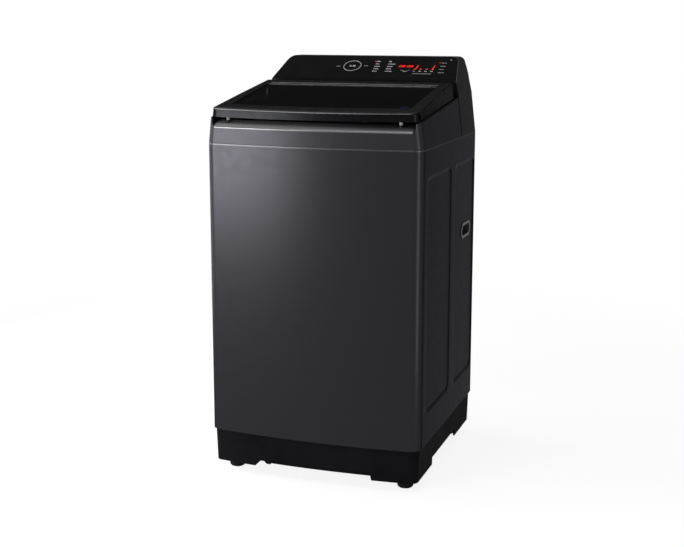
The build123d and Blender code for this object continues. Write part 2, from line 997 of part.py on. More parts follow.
with BuildPart() as lid_bay:
    add(leaning_prism(ledge_width, deck_height, console_top))
    add(side_block([(far, 0), (trough_y, 0), (trough_y, far), (far, far)]), mode=Mode.SUBTRACT)

with BuildPart() as hinge_trough:
    add(leaning_prism(top_wall, deck_height, console_top))
    add(
        side_block([(trough_y, 0), (riser_y, 0), (riser_y, far), (trough_y, far)]),
        mode=Mode.INTERSECT,
    )


scoop_floor = front_rim - rim_drop / 2


def ramp_ring():
    """Ring about the bow's centre that holds all the space in front of the finger ramp and its round lip."""
    lip_y = bow_centre_y + bow_radius + rim_over
    ramp_end = bow_centre_y + bow_radius - scoop_reach
    with BuildPart() as ring:
        with BuildSketch(Plane.YZ) as section:
            with BuildLine():
                Polyline(
                    (lip_y + lift_reach, scoop_floor),
                    (lip_y, scoop_floor),
                    (lip_y, front_rim),
                    (ramp_end, deck_height),
                    (ramp_end, console_top),
                    (lip_y + lift_reach, console_top),
                    close=True,
                )
            make_face()
            fillet(section.vertices().group_by(Axis.Y)[1], rim_edge_radius)
        revolve(axis=Axis((0, bow_centre_y, 0), (0, 0, 1)))
    return ring.part


with BuildPart() as finger_scoop:
    with BuildSketch(Plane.XZ.offset(lift_reach - front_y)):
        with Locations((0, (scoop_floor + console_top) / 2)):
            RectangleRounded(width - 2 * scoop_margin, console_top - scoop_floor, scoop_corner)
    extrude(amount=-(2 * lift_reach + front_bow))
    add(ramp_ring(), mode=Mode.INTERSECT)

with BuildPart() as top_frame:
    add(top_mass.part)
    add(above_face(fascia), mode=Mode.SUBTRACT)
    add(leaning_prism(top_wall, seam_height - top_wall, front_rim - top_wall), mode=Mode.SUBTRACT)
    add(leaning_prism(scoop_reach + top_wall, seam_height, deck_height - top_wall), mode=Mode.SUBTRACT)
    add(console_cavity.part, mode=Mode.SUBTRACT)
    add(lid_bay.part, mode=Mode.SUBTRACT)
    add(hinge_trough.part, mode=Mode.SUBTRACT)
    add(finger_scoop.part, mode=Mode.SUBTRACT)
    with BuildSketch(Plane.XY.offset(collar_bottom)):
        with Locations((0, opening_y)):
            RectangleRounded(
                opening_width + 2 * top_wall, opening_length + 2 * top_wall, opening_corner + top_wall
            )
    extrude(amount=deck_height - collar_bottom)
    with BuildSketch(Plane.XY.offset(collar_bottom)):
        with Locations((0, opening_y)):
            RectangleRounded(opening_width, opening_length, opening_corner)
    extrude(amount=deck_height - collar_bottom, mode=Mode.SUBTRACT)
    for side in (-1, 1):
        with BuildSketch(Plane.YZ.offset(side * post_inner)):
            with BuildLine():
                Polyline(
                    (hinge_y - ear_radius, deck_height),
                    (hinge_y + ear_radius, deck_height),
                    (hinge_y + ear_radius, hinge_z),
                    (hinge_y - ear_radius, hinge_z),
                    close=True,
                )
            make_face()
            with Locations((hinge_y, hinge_z)):
                Circle(ear_radius)
                Circle(hinge_pin_radius + hinge_clearance, mode=Mode.SUBTRACT)
        extrude(amount=side * post_width)
    with BuildSketch(face_plane.offset(-fascia)):
        with Locations(board_middle):
            RectangleRounded(
                board_size[0] + 2 * window_clearance, board_size[1] + 2 * window_clearance, board_corner
            )
    extrude(amount=-2 * top_wall, mode=Mode.SUBTRACT)
    with BuildSketch(Plane.XZ.offset(-rear_y)):
        with Locations((valve_x, valve_level)):
            Circle(inlet_radius + inlet_clearance)
    extrude(amount=2 * top_wall, mode=Mode.SUBTRACT)
    with BuildSketch(Plane.XZ.offset(-(opening_rear_y - opening_corner / 2))):
        with Locations((dispenser_x, (dispenser_low + dispenser_top) / 2)):
            Rectangle(dispenser_width - 2 * dispenser_wall, dispenser_height - 2 * dispenser_wall)
    extrude(amount=-opening_corner, mode=Mode.SUBTRACT)
    side_edges = top_frame.edges().filter_by(lambda edge: edge.length > riser_depth / 2)
    ledge_edges = side_edges.filter_by(lambda edge: ledge_front < edge.center().Z < face_bottom)
    fillet([ledge_edges.sort_by(Axis.X)[0], ledge_edges.sort_by(Axis.X)[-1]], ledge_edge_radius)
    with BuildSketch(Plane.XY.offset(seam_height)):
        Rectangle(2 * width, 2 * side_depth)
        add(plan_outline(seam_groove), mode=Mode.SUBTRACT)
    extrude(amount=seam_groove, mode=Mode.SUBTRACT)
finish(top_frame, "top_frame")

# Console fascia: dark face plate with openings for the keys and the display, posts for the board behind it


def start_outline(grow):
    """Round start key, grown by an edge distance."""
    with BuildSketch() as outline:
        Circle(start_key_radius + grow)
    return outline.sketch


def course_outline(grow):
    """Long course key under the display, grown by an edge distance."""
    with BuildSketch() as outline:
        SlotOverall(course_key_length + 2 * grow, course_key_height + 2 * grow)
    return outline.sketch


def option_outline(grow):
    """Small option key, grown by an edge distance."""
    with BuildSketch() as outline:
        RectangleRounded(option_key_length + 2 * grow, option_key_height + 2 * grow, key_corner + grow)
    return outline.sketch


def lens_outline(grow):
    """Display window, grown by an edge distance."""
    with BuildSketch() as outline:
        RectangleRounded(lens_length + 2 * grow, lens_height + 2 * grow, key_corner + grow)
    return outline.sketch


keys = [
    ("start_key", (start_key_x, start_key_up), start_outline),
    ("course_key", (course_key_x, course_key_up), course_outline),
]
for number, up in enumerate(option_key_levels, start=1):
    keys.append((f"option_key_{number}", (option_key_x, up), option_outline))
lens_place = (course_key_x, lens_up)
post_x = board_size[0] / 2 - board_post_margin
post_up = board_size[1] / 2 - board_post_margin
board_posts = [
    (board_middle[0] + side * post_x, board_middle[1] + level * post_up)
    for side in (-1, 1)
    for level in (-1, 1)
]

with BuildPart() as console_fascia:
    add(top_mass.part)
    add(above_face(fascia), mode=Mode.INTERSECT)
    with BuildSketch(face_plane):
        for name, place, outline in keys:
            with Locations(place):
                add(outline(key_clearance))
        with Locations(lens_place):
            add(lens_outline(key_clearance))
    extrude(amount=-fascia, mode=Mode.SUBTRACT)
    with BuildSketch(face_plane):
        with Locations((0, band_groove)):
            Rectangle(width, groove_width)
    extrude(amount=-groove_depth, mode=Mode.SUBTRACT)
    with BuildSketch(face_plane.offset(-fascia)):
        with Locations(*board_posts):
            Circle(board_post_radius)
    extrude(amount=-(board_depth - fascia))
finish(console_fascia, "console_fascia")

with BuildPart() as display_lens:
    with BuildSketch(face_plane):
        with Locations(lens_place):
            add(lens_outline(0))
    extrude(amount=-fascia)
    with BuildSketch(face_plane.offset(-fascia)):
        with Locations(lens_place):
            add(lens_outline(lens_flange))
    extrude(amount=-lens_flange_thickness)
finish(display_lens, "display_lens")

for name, place, outline in keys:
    with BuildPart() as console_key:
        with BuildSketch(face_plane):
            with Locations(place):
                add(outline(0))
        extrude(amount=-fascia)
        with BuildSketch(face_plane.offset(-fascia)):
            with Locations(place):
                add(outline(key_flange))
        extrude(amount=-key_flange_thickness)
        with BuildSketch(face_plane.offset(-fascia)):
            with Locations(place):
                Circle(key_stem_radius)
        extrude(amount=-(key_stem_depth - fascia))
    finish(console_key, name)

# Control board on the fascia's posts, with a switch under each key and the red figures under the window
switch_top = key_stem_depth + key_travel + switch_gap
module_top = fascia + lens_flange_thickness + module_gap
with BuildPart() as control_board:
    with BuildSketch(face_plane.offset(-board_depth)):
        with Locations(board_middle):
            RectangleRounded(*board_size, board_corner)
    extrude(amount=-board_thickness)
    with BuildSketch(face_plane.offset(-board_depth)):
        for name, place, outline in keys:
            with Locations(place):
                Circle(switch_radius)
    extrude(amount=board_depth - switch_top)
    with BuildSketch(face_plane.offset(-board_depth)):
        with Locations(lens_place):
            Rectangle(module_length, module_height)
    extrude(amount=board_depth - module_top)
finish(control_board, "control_board")

# Lid: wedge-shaped plastic frame, open below, with two hinge ears and a seat for the glass
lid_plane = Plane(
    origin=(0, chord_y, lid_z(chord_y)), x_dir=(1, 0, 0), z_dir=(0, -sin(pitch), cos(pitch))
)
glass_bed = glass_recess + glass_thickness
seat_rear = glass_rear + trim_length + glass_clearance


def lid_profile(top_drop, floor_drop):
    """Lid seen from the side: sloping top, tail rounded about the hinge axis, lower edge along the ledge."""
    radius = hinge_drop - top_drop
    crest_angle = radians(90 + lid_pitch)
    tail_angle = radians(lid_tail_angle)
    crest, bend, tail = (
        (hinge_y + radius * cos(angle), hinge_z + radius * sin(angle))
        for angle in (crest_angle, (crest_angle + tail_angle) / 2, tail_angle)
    )
    ahead = front_y - lid_bar
    edge_lift = lid_gap - floor_drop
    with BuildSketch() as profile:
        with BuildLine():
            ThreePointArc(crest, bend, tail)
            Polyline(
                tail,
                (hinge_y, hinge_z),
                (hinge_y, ledge_z(hinge_y) + edge_lift),
                (ahead, ledge_z(ahead) + edge_lift),
                (ahead, lid_z(ahead) - top_drop / cos(pitch)),
                crest,
            )
        make_face()
    return profile.sketch


def glass_outline(grow, rear):
    """Glass seen square on, grown by an edge distance, from its bowed front edge to a rear line."""
    half = glass_half + grow
    front = glass_front - grow
    with BuildSketch() as outline:
        with BuildLine():
            edge = ThreePointArc((-half, front), (0, front - glass_bow), (half, front))
            Polyline(edge @ 1, (half, rear), (-half, rear), edge @ 0)
        make_face()
        fillet(outline.vertices().group_by(Axis.Y)[0], glass_corner + grow)
    return outline.sketch


with BuildPart() as lid_hollow:
    add(leaning_prism(lid_inset + lid_wall, deck_height, console_top))
    with BuildSketch(Plane.YZ):
        add(lid_profile(lid_top, deck_height))
    extrude(amount=width, both=True, mode=Mode.INTERSECT)
    behind_bar = Pos(0, lid_bar - lid_wall) * plan_outline(lid_inset + lid_wall)
    add(rounded_prism(behind_bar, deck_height, console_top), mode=Mode.INTERSECT)

with BuildPart() as lid_frame:
    add(leaning_prism(lid_inset, deck_height, console_top))
    with BuildSketch(Plane.YZ):
        add(lid_profile(0, 0))
    extrude(amount=width, both=True, mode=Mode.INTERSECT)
    lid_crown = lid_frame.faces().sort_by(Axis((0, 0, 0), lid_plane.z_dir))[-1]
    fillet(lid_crown.edges().filter_by(lambda edge: edge.center().Y < trough_y), lid_edge_radius)
    add(lid_hollow.part, mode=Mode.SUBTRACT)
    for side in (-1, 1):
        with BuildSketch(Plane.YZ.offset(side * ear_inner)):
            with BuildLine():
                ear_top = hinge_z + hinge_drop - lid_top / 2
                Polyline(
                    (hinge_y - ear_radius, hinge_z),
                    (hinge_y + ear_radius, hinge_z),
                    (hinge_y + ear_radius, ear_top),
                    (hinge_y - ear_radius, ear_top),
                    close=True,
                )
            make_face()
            with Locations((hinge_y, hinge_z)):
                Circle(ear_radius)
        extrude(amount=side * ear_width)
        with BuildSketch(Plane.YZ.offset(side * ear_inner)):
            with Locations((hinge_y, hinge_z)):
                Circle(hinge_pin_radius + press_gap)
        extrude(amount=side * ear_width, mode=Mode.SUBTRACT)
    with BuildSketch(lid_plane):
        add(glass_outline(0, seat_rear))
    extrude(amount=-glass_bed, mode=Mode.SUBTRACT)
    with BuildSketch(lid_plane):
        add(glass_outline(-glass_ledge, glass_rear))
    extrude(amount=-2 * lid_top, mode=Mode.SUBTRACT)
finish(lid_frame, "lid_frame")

with BuildPart() as lid_glass:
    with BuildSketch(lid_plane.offset(-glass_bed)):
        add(glass_outline(-glass_clearance, glass_rear))
    extrude(amount=glass_thickness)
finish(lid_glass, "lid_glass")

with BuildPart() as lid_rear_trim:
    with BuildSketch(lid_plane.offset(-glass_bed)):
        with Locations((0, glass_rear + (trim_length + glass_clearance) / 2)):
            Rectangle(2 * (glass_half - glass_clearance), trim_length - glass_clearance)
    extrude(amount=trim_thickness)
    fillet(lid_rear_trim.faces().sort_by(Axis.Z)[-1].edges().filter_by(Axis.X), glass_clearance)
finish(lid_rear_trim, "lid_rear_trim")

# Hinge pins through the lid's ears, turning in the posts and in the rotary dampers
damper_outer = ear_inner - damper_gap
pin_inner = damper_outer - damper_grip
pin_outer = post_inner + post_width
with BuildPart() as lid_hinge_pins:
    for side in (-1, 1):
        with BuildSketch(Plane.YZ.offset(side * pin_inner)):
            with Locations((hinge_y, hinge_z)):
                Circle(hinge_pin_radius)
        extrude(amount=side * (pin_outer - pin_inner))
finish(lid_hinge_pins, "lid_hinge_pins")

with BuildPart() as lid_dampers:
    for side in (-1, 1):
        with BuildSketch(Plane.YZ.offset(side * damper_outer)):
            with Locations((hinge_y, hinge_z)):
                Circle(damper_radius)
            with BuildLine():
                half_foot = damper_foot / 2
                Polyline(
                    (hinge_y - half_foot, deck_height),
                    (hinge_y + half_foot, deck_height),
                    (hinge_y + half_foot, hinge_z),
                    (hinge_y - half_foot, hinge_z),
                    close=True,
                )
            make_face()
        extrude(amount=-side * damper_length)
        with BuildSketch(Plane.YZ.offset(side * damper_outer)):
            with Locations((hinge_y, hinge_z)):
                Circle(hinge_pin_radius + hinge_clearance)
        extrude(amount=-side * (damper_grip + damper_gap), mode=Mode.SUBTRACT)
finish(lid_dampers, "lid_dampers")

# Two pale bumpers on the finger ramp carry the lid's front bar
bumper_y = bow_y(bumper_x) + bumper_setback
bumper_top = ledge_z(bumper_y) + lid_gap - bumper_clearance
bumper_low = front_rim + (deck_height - front_rim) * (bumper_setback - bumper_foot) / scoop_reach
with BuildPart() as lid_bumpers:
    with BuildSketch(Plane.XY.offset(bumper_low)):
        with Locations((-bumper_x, bumper_y), (bumper_x, bumper_y)):
            Circle(bumper_radius)
    extrude(amount=bumper_top - bumper_low)
    fillet(lid_bumpers.faces().group_by(Axis.Z)[-1].edges(), bumper_crown)
    add(top_frame.part, mode=Mode.SUBTRACT)
finish(lid_bumpers, "lid_bumpers")

# Detergent dispenser under the deck, its drawer opening into the loading mouth
with BuildPart() as dispenser_housing:
    with BuildSketch(Plane.XY.offset(dispenser_low)):
        with Locations((dispenser_x, dispenser_y + dispenser_depth / 2)):
            Rectangle(dispenser_width, dispenser_depth)
    extrude(amount=dispenser_height)
    with BuildSketch(Plane.XZ.offset(-dispenser_y)):
        with Locations((dispenser_x, (dispenser_low + dispenser_top) / 2)):
            Rectangle(dispenser_width - 2 * dispenser_wall, dispenser_height - 2 * dispenser_wall)
    extrude(amount=-(dispenser_depth - dispenser_wall), mode=Mode.SUBTRACT)
    with BuildSketch(Plane.XY.offset(dispenser_low)):
        with Locations((dispenser_x, dispenser_y + dispenser_depth / 2)):
            SlotOverall(outlet_slot_length, outlet_slot_width)
    extrude(amount=dispenser_wall, mode=Mode.SUBTRACT)
finish(dispenser_housing, "dispenser_housing")

drawer_width = dispenser_width - 2 * (dispenser_wall + drawer_clearance)
drawer_low = dispenser_low + dispenser_wall + drawer_lift
drawer_height = dispenser_height - 2 * dispenser_wall - drawer_lift - drawer_clearance
with BuildPart() as detergent_drawer:
    with BuildSketch(Plane.XY.offset(drawer_low)):
        with Locations((dispenser_x, opening_rear_y + drawer_length / 2)):
            Rectangle(drawer_width, drawer_length)
    extrude(amount=drawer_height)
    with BuildSketch(Plane.XY.offset(drawer_low + drawer_wall)):
        with BuildLine():
            tray_left = dispenser_x - drawer_width / 2 + drawer_wall
            tray_right = dispenser_x + drawer_width / 2 - drawer_wall
            tray_front = opening_rear_y + drawer_front
            tray_rear = opening_rear_y + drawer_length - drawer_wall
            Polyline(
                (tray_left, tray_front),
                (tray_right, tray_front),
                (tray_right, tray_rear),
                (tray_left, tray_rear),
                close=True,
            )
        make_face()
        with Locations((dispenser_x + drawer_divider_x, opening_rear_y + drawer_length / 2)):
            Rectangle(drawer_wall, drawer_length, mode=Mode.SUBTRACT)
    extrude(amount=drawer_height, mode=Mode.SUBTRACT)
    with BuildSketch(Plane.XZ.offset(-opening_rear_y)):
        with Locations((dispenser_x, drawer_low + drawer_height - drawer_pull_height / 2)):
            RectangleRounded(drawer_pull_width, drawer_pull_height, drawer_pull_corner)
    extrude(amount=drawer_pull)
finish(detergent_drawer, "detergent_drawer")

# Water inlet valve behind the console's rear wall, with a hose down to the dispenser
valve_rear_y = rear_y - top_wall
valve_front_y = valve_rear_y - valve_size
nozzle_level = valve_level - nozzle_drop
nozzle_y = valve_front_y - nozzle_length
with BuildPart() as water_inlet_valve:
    with BuildSketch(Plane.XZ.offset(-valve_rear_y)):
        with Locations((valve_x, valve_level)):
            RectangleRounded(valve_size, valve_size, key_corner)
    extrude(amount=valve_size)
    with BuildSketch(Plane.XZ.offset(-valve_rear_y)):
        with Locations((valve_x, valve_level)):
            Circle(inlet_radius)
    extrude(amount=-(top_wall + rear_reach))
    with BuildSketch(Plane.XZ.offset(-rear_y)):
        with Locations((valve_x, valve_level)):
            Circle(inlet_nut_radius)
    extrude(amount=-inlet_nut_thickness)
    with BuildSketch(Plane.XZ.offset(-back_y)):
        with Locations((valve_x, valve_level)):
            Circle(inlet_bore)
    extrude(amount=inlet_bore_length, mode=Mode.SUBTRACT)
    with BuildSketch(Plane.XZ.offset(-valve_front_y)):
        with Locations((valve_x, nozzle_level)):
            Circle(nozzle_radius)
    extrude(amount=nozzle_length)
finish(water_inlet_valve, "water_inlet_valve")

hose_level = (dispenser_low + dispenser_top) / 2
with BuildPart() as inlet_hose:
    with BuildLine() as hose_route:
        FilletPolyline(
            (valve_x, nozzle_y, nozzle_level),
            (valve_x, nozzle_y - inlet_hose_run, nozzle_level),
            (valve_x, nozzle_y - inlet_hose_run, hose_level),
            (dispenser_x + dispenser_width / 2, nozzle_y - inlet_hose_run, hose_level),
            radius=inlet_hose_bend,
        )
    with BuildSketch(Plane(origin=hose_route.line @ 0, z_dir=hose_route.line % 0)):
        Circle(inlet_hose_radius)
        Circle(inlet_hose_bore, mode=Mode.SUBTRACT)
    sweep()
finish(inlet_hose, "inlet_hose")

# Cord gland and drain outlet on the back panel's raised field
with BuildPart() as power_cord_gland:
    with BuildSketch(Plane.XZ.offset(-field_y)):
        with Locations((gland_x, gland_level)):
            Circle(gland_flange_radius)
    extrude(amount=-gland_flange_thickness)
    fillet(power_cord_gland.faces().sort_by(Axis.Y)[-1].edges(), gland_flange_thickness / 2)
    with BuildSketch(Plane.XZ.offset(-field_y)):
        with Locations((gland_x, gland_level)):
            Circle(gland_radius)
    extrude(amount=gland_neck)
    with BuildSketch(Plane.XZ.offset(-(field_y - gland_neck))):
        with Locations((gland_x, gland_level)):
            Circle(gland_bore)
    extrude(amount=-(gland_neck + gland_flange_thickness), mode=Mode.SUBTRACT)
finish(power_cord_gland, "power_cord_gland")

with BuildPart() as drain_outlet:
    with BuildSketch(Plane.XZ.offset(-field_y)):
        with Locations((drain_x, drain_level)):
            Circle(drain_flange_radius)
    extrude(amount=-drain_flange_thickness)
    with BuildSketch(Plane.XZ.offset(-(rear_y - drain_neck))):
        with Locations((drain_x, drain_level)):
            Circle(drain_radius)
    extrude(amount=-(drain_neck + rear_reach))
    with BuildSketch(Plane.XZ.offset(-(rear_y - drain_neck))):
        with Locations((drain_x, drain_level)):
            Circle(drain_bore)
    extrude(amount=-(drain_neck + rear_reach), mode=Mode.SUBTRACT)
finish(drain_outlet, "drain_outlet")

# Suspension: a bracket in each cabinet corner, a rod with a piston at its foot, a spring on the piston
rod_x = half_width - rod_margin_x
rod_front_y = chord_y + rod_front_margin
rod_rear_y = rear_y - rod_rear_margin
rod_points = [(side * rod_x, y) for y in (rod_front_y, rod_rear_y) for side in (-1, 1)]
bracket_top = bracket_level + bracket_thickness
piston_radius = cup_radius - cup_wall - piston_clearance
piston_top = piston_level + piston_thickness
with BuildPart() as corner_brackets:
    with BuildSketch(Plane.XY.offset(bracket_level)):
        for x, y in rod_points:
            corner_x = half_width if x > 0 else -half_width
            corner_y = rear_y if y > 0 else front_y
            inner_x = x - bracket_reach if x > 0 else x + bracket_reach
            inner_y = y - bracket_reach if y > 0 else y + bracket_reach
            with BuildLine():
                Polyline(
                    (inner_x, inner_y),
                    (corner_x, inner_y),
                    (corner_x, corner_y),
                    (inner_x, corner_y),
                    close=True,
                )
            make_face()
        add(plan_outline(sheet), mode=Mode.INTERSECT)
        with Locations(*rod_points):
            Circle(rod_radius + rod_clearance, mode=Mode.SUBTRACT)
    extrude(amount=bracket_thickness)
finish(corner_brackets, "corner_brackets")

with BuildPart() as suspension_rods:
    with BuildSketch(Plane.XY.offset(piston_level)):
        with Locations(*rod_points):
            Circle(rod_radius)
    extrude(amount=bracket_top - piston_level)
    with BuildSketch(Plane.XY.offset(bracket_top)):
        with Locations(*rod_points):
            Circle(rod_head_radius)
    extrude(amount=rod_head_height)
    fillet(suspension_rods.faces().group_by(Axis.Z)[-1].edges(), rod_head_height / 2)
    with BuildSketch(Plane.XY.offset(piston_level)):
        with Locations(*rod_points):
            Circle(piston_radius)
    extrude(amount=piston_thickness)
finish(suspension_rods, "suspension_rods")

with BuildPart() as suspension_springs:
    with BuildSketch(Plane.XY.offset(piston_top + spring_gap)):
        with Locations(*rod_points):
            Circle(spring_radius + spring_wire / 2)
            Circle(spring_radius - spring_wire / 2, mode=Mode.SUBTRACT)
    extrude(amount=lug_level - piston_top - 2 * spring_gap)
finish(suspension_springs, "suspension_springs")

# Tub: outer plastic vessel with four lugs on the rods and a sump spigot
with BuildPart() as tub:
    with BuildSketch(Plane.XY.offset(tub_floor)):
        Circle(tub_radius)
    extrude(amount=tub_top - tub_floor)
    with BuildSketch(Plane.XY.offset(tub_top)):
        Circle(tub_radius + tub_flange)
    extrude(amount=-tub_flange_height)
    for x, y in rod_points:
        reach = hypot(x, y)
        arm_start = tub_radius - tub_wall
        arm_end = reach + lug_tip
        with BuildSketch(Plane(origin=(0, 0, lug_level), x_dir=(x, y, 0), z_dir=(0, 0, 1))):
            with Locations(((arm_start + arm_end) / 2, 0)):
                RectangleRounded(arm_end - arm_start, lug_width, lug_tip)
            with Locations(((arm_start + reach) / 2, 0)):
                Rectangle(reach - arm_start, lug_width)
        extrude(amount=lug_thickness)
    with BuildSketch(Plane.XY.offset(tub_floor + tub_floor_thickness)):
        Circle(tub_radius - tub_wall)
    extrude(amount=tub_top - tub_floor - tub_floor_thickness, mode=Mode.SUBTRACT)
    with BuildSketch(Plane.XY.offset(tub_floor)):
        with Locations((sump_x, sump_y)):
            Circle(sump_radius)
    extrude(amount=-sump_length)
    with BuildSketch(Plane.XY.offset(tub_floor - sump_length)):
        with Locations((sump_x, sump_y)):
            Circle(sump_bore)
    extrude(amount=sump_length + tub_floor_thickness, mode=Mode.SUBTRACT)
    with BuildSketch(Plane.XY.offset(tub_floor)):
        Circle(housing_radius + housing_clearance)
    extrude(amount=tub_floor_thickness, mode=Mode.SUBTRACT)
    with BuildSketch(Plane.XY.offset(lug_level)):
        with Locations(*rod_points):
            Circle(rod_radius + rod_clearance)
    extrude(amount=lug_thickness, mode=Mode.SUBTRACT)
finish(tub, "tub")

with BuildPart() as tub_cover:
    add(tube(tub_radius + tub_flange, cover_inner, tub_top, tub_top + cover_thickness))
    fillet(tub_cover.faces().sort_by(Axis.Z)[-1].edges(), cover_edge_radius)
finish(tub_cover, "tub_cover")

with BuildPart() as damper_cups:
    with BuildSketch(Plane.XY.offset(lug_level)):
        with Locations(*rod_points):
            Circle(cup_radius)
            Circle(cup_radius - cup_wall, mode=Mode.SUBTRACT)
    extrude(amount=-cup_length)
finish(damper_cups, "damper_cups")

# Bearing housing under the tub floor: flange, ribbed tube, foot with the stator and the clutch lever
housing_top = tub_floor + housing_rise
bearing_high = housing_top - bearing_height
bearing_low = housing_bottom
lever_low = coupler_bottom + coupler_height - coupler_flange_drop + lever_gap
lever_pivot_z = lever_low + lever_thickness / 2 + lever_pivot_lift / 2
lever_ear_inner = lever_width / 2 + lever_ear_gap
stator_top = stator_bottom + stator_height
with BuildPart() as bearing_housing:
    with BuildSketch(Plane.XY.offset(housing_bottom)):
        Circle(housing_radius)
    extrude(amount=housing_top - housing_bottom)
    with BuildSketch(Plane.XY.offset(tub_floor)):
        Circle(housing_flange_radius)
    extrude(amount=-housing_flange_thickness)
    with BuildSketch(Plane.XY.offset(housing_bottom)):
        Circle(housing_foot_radius)
    extrude(amount=housing_foot_thickness)
    with BuildSketch(Plane.XY.offset(housing_bottom)):
        with PolarLocations(housing_foot_radius / 2, housing_ribs, start_angle=housing_rib_turn):
            Rectangle(housing_foot_radius, housing_rib)
        Circle(housing_foot_radius, mode=Mode.INTERSECT)
    extrude(amount=tub_floor - housing_bottom)
    with BuildSketch(Plane.XY.offset(stator_top)):
        with PolarLocations(stator_post_circle, stator_posts, start_angle=stator_post_turn):
            Circle(stator_post_radius)
    extrude(amount=housing_bottom - stator_top)
    for side in (-1, 1):
        with BuildSketch(Plane.XZ.offset(side * lever_ear_inner)):
            with BuildLine():
                ear_half = 2 * lever_pivot_radius
                Polyline(
                    (lever_pivot_x - ear_half, lever_pivot_z - ear_half),
                    (lever_pivot_x + ear_half, lever_pivot_z - ear_half),
                    (lever_pivot_x + ear_half, housing_bottom),
                    (lever_pivot_x - ear_half, housing_bottom),
                    close=True,
                )
            make_face()
            with Locations((lever_pivot_x, lever_pivot_z)):
                Circle(lever_pivot_radius + running_gap, mode=Mode.SUBTRACT)
        extrude(amount=side * lever_ear_width)
    with BuildSketch(Plane.XY.offset(housing_bottom)):
        Circle(bearing_radius - bearing_shoulder)
    extrude(amount=housing_top - housing_bottom, mode=Mode.SUBTRACT)
    with BuildSketch(Plane.XY.offset(bearing_high)):
        Circle(bearing_radius)
    extrude(amount=bearing_height, mode=Mode.SUBTRACT)
    with BuildSketch(Plane.XY.offset(bearing_low)):
        Circle(bearing_radius)
    extrude(amount=bearing_height, mode=Mode.SUBTRACT)
finish(bearing_housing, "bearing_housing")

with BuildPart() as shaft_bearings:
    for low in (bearing_low, bearing_high):
        add(tube(bearing_radius - press_gap, spin_shaft_radius + running_gap, low, low + bearing_height))
finish(shaft_bearings, "shaft_bearings")

with BuildPart() as stator:
    add(tube(stator_yoke, stator_inner, stator_bottom, stator_top))
    with BuildSketch(Plane.XY.offset(stator_bottom)):
        with PolarLocations((stator_yoke + stator_outer) / 2, stator_teeth):
            Rectangle(stator_outer - stator_yoke + stator_tooth, stator_tooth)
        Circle(stator_outer, mode=Mode.INTERSECT)
    extrude(amount=coil_height)
finish(stator, "stator")

# Spin shaft with the hub under the basket, and the wash shaft that runs inside it
hub_top = basket_bottom - basket_base_thickness
pulsator_low = basket_bottom + pulsator_gap
wash_shaft_top = pulsator_low + pulsator_hub_height - 2 * shaft_seat
with BuildPart() as spin_shaft:
    add(tube(spin_shaft_radius, wash_shaft_radius + running_gap, spin_shaft_bottom, hub_top))
    add(tube(hub_radius, spin_shaft_radius, hub_top - hub_thickness, hub_top))
finish(spin_shaft, "spin_shaft")

with BuildPart() as wash_shaft:
    with BuildSketch(Plane.XY.offset(wash_shaft_bottom)):
        Circle(wash_shaft_radius)
    extrude(amount=wash_shaft_top - wash_shaft_bottom)
finish(wash_shaft, "wash_shaft")

# Motor rotor: steel bell with a ring of magnets, held on the wash shaft by a nut
magnet_outer = rotor_radius - rotor_wall
rotor_deck = rotor_floor + rotor_floor_thickness
with BuildPart() as rotor:
    with BuildSketch(Plane.XY.offset(rotor_floor)):
        Circle(rotor_radius)
    extrude(amount=rotor_height)
    with BuildSketch(Plane.XY.offset(rotor_deck)):
        Circle(magnet_outer)
    extrude(amount=rotor_height, mode=Mode.SUBTRACT)
    with BuildSketch(Plane.XY.offset(rotor_floor)):
        Circle(rotor_hub_radius)
    extrude(amount=rotor_hub_height)
    with BuildSketch(Plane.XY.offset(rotor_floor)):
        Circle(wash_shaft_radius + press_gap)
    extrude(amount=rotor_hub_height, mode=Mode.SUBTRACT)
    fillet(rotor.faces().sort_by(Axis.Z)[0].outer_wire().edges(), rotor_wall)
finish(rotor, "rotor")

with BuildPart() as rotor_magnets:
    add(
        tube(
            magnet_outer - press_gap,
            magnet_outer - magnet_thickness,
            rotor_deck,
            rotor_deck + magnet_height,
        )
    )
finish(rotor_magnets, "rotor_magnets")

with BuildPart() as rotor_nut:
    with BuildSketch(Plane.XY.offset(rotor_floor)):
        RegularPolygon(nut_radius, nut_sides)
        Circle(wash_shaft_radius + press_gap, mode=Mode.SUBTRACT)
    extrude(amount=-nut_height)
finish(rotor_nut, "rotor_nut")

# Clutch: a coupler that slides on the spin shaft, pushed down by a lever that a solenoid pulls up
coupler_top = coupler_bottom + coupler_height
flange_top = coupler_top - coupler_flange_drop
with BuildPart() as clutch_coupler:
    add(tube(coupler_radius, spin_shaft_radius + running_gap, coupler_bottom, coupler_top))
    add(tube(coupler_flange_radius, coupler_radius, flange_top - coupler_flange_thickness, flange_top))
finish(clutch_coupler, "clutch_coupler")

lever_pin_half = lever_ear_inner + lever_ear_width
with BuildPart() as clutch_lever:
    with BuildSketch(Plane.XY.offset(lever_low)):
        with Locations(((lever_inner + lever_outer) / 2, 0)):
            Rectangle(lever_outer - lever_inner, lever_width)
        with Locations((plunger_x, 0)):
            SlotOverall(2 * (plunger_neck + slot_play), 2 * (plunger_neck + lever_gap), mode=Mode.SUBTRACT)
    extrude(amount=lever_thickness)
    with BuildSketch(Plane.XZ):
        with Locations((lever_pivot_x, (lever_low + lever_pivot_z) / 2)):
            Rectangle(2 * lever_pivot_radius, lever_pivot_z - lever_low)
        with Locations((lever_pivot_x, lever_pivot_z)):
            Circle(lever_pivot_radius)
    extrude(amount=lever_width / 2, both=True)
    with BuildSketch(Plane.XZ):
        with Locations((lever_pivot_x, lever_pivot_z)):
            Circle(lever_pivot_radius)
    extrude(amount=lever_pin_half, both=True)
finish(clutch_lever, "clutch_lever")

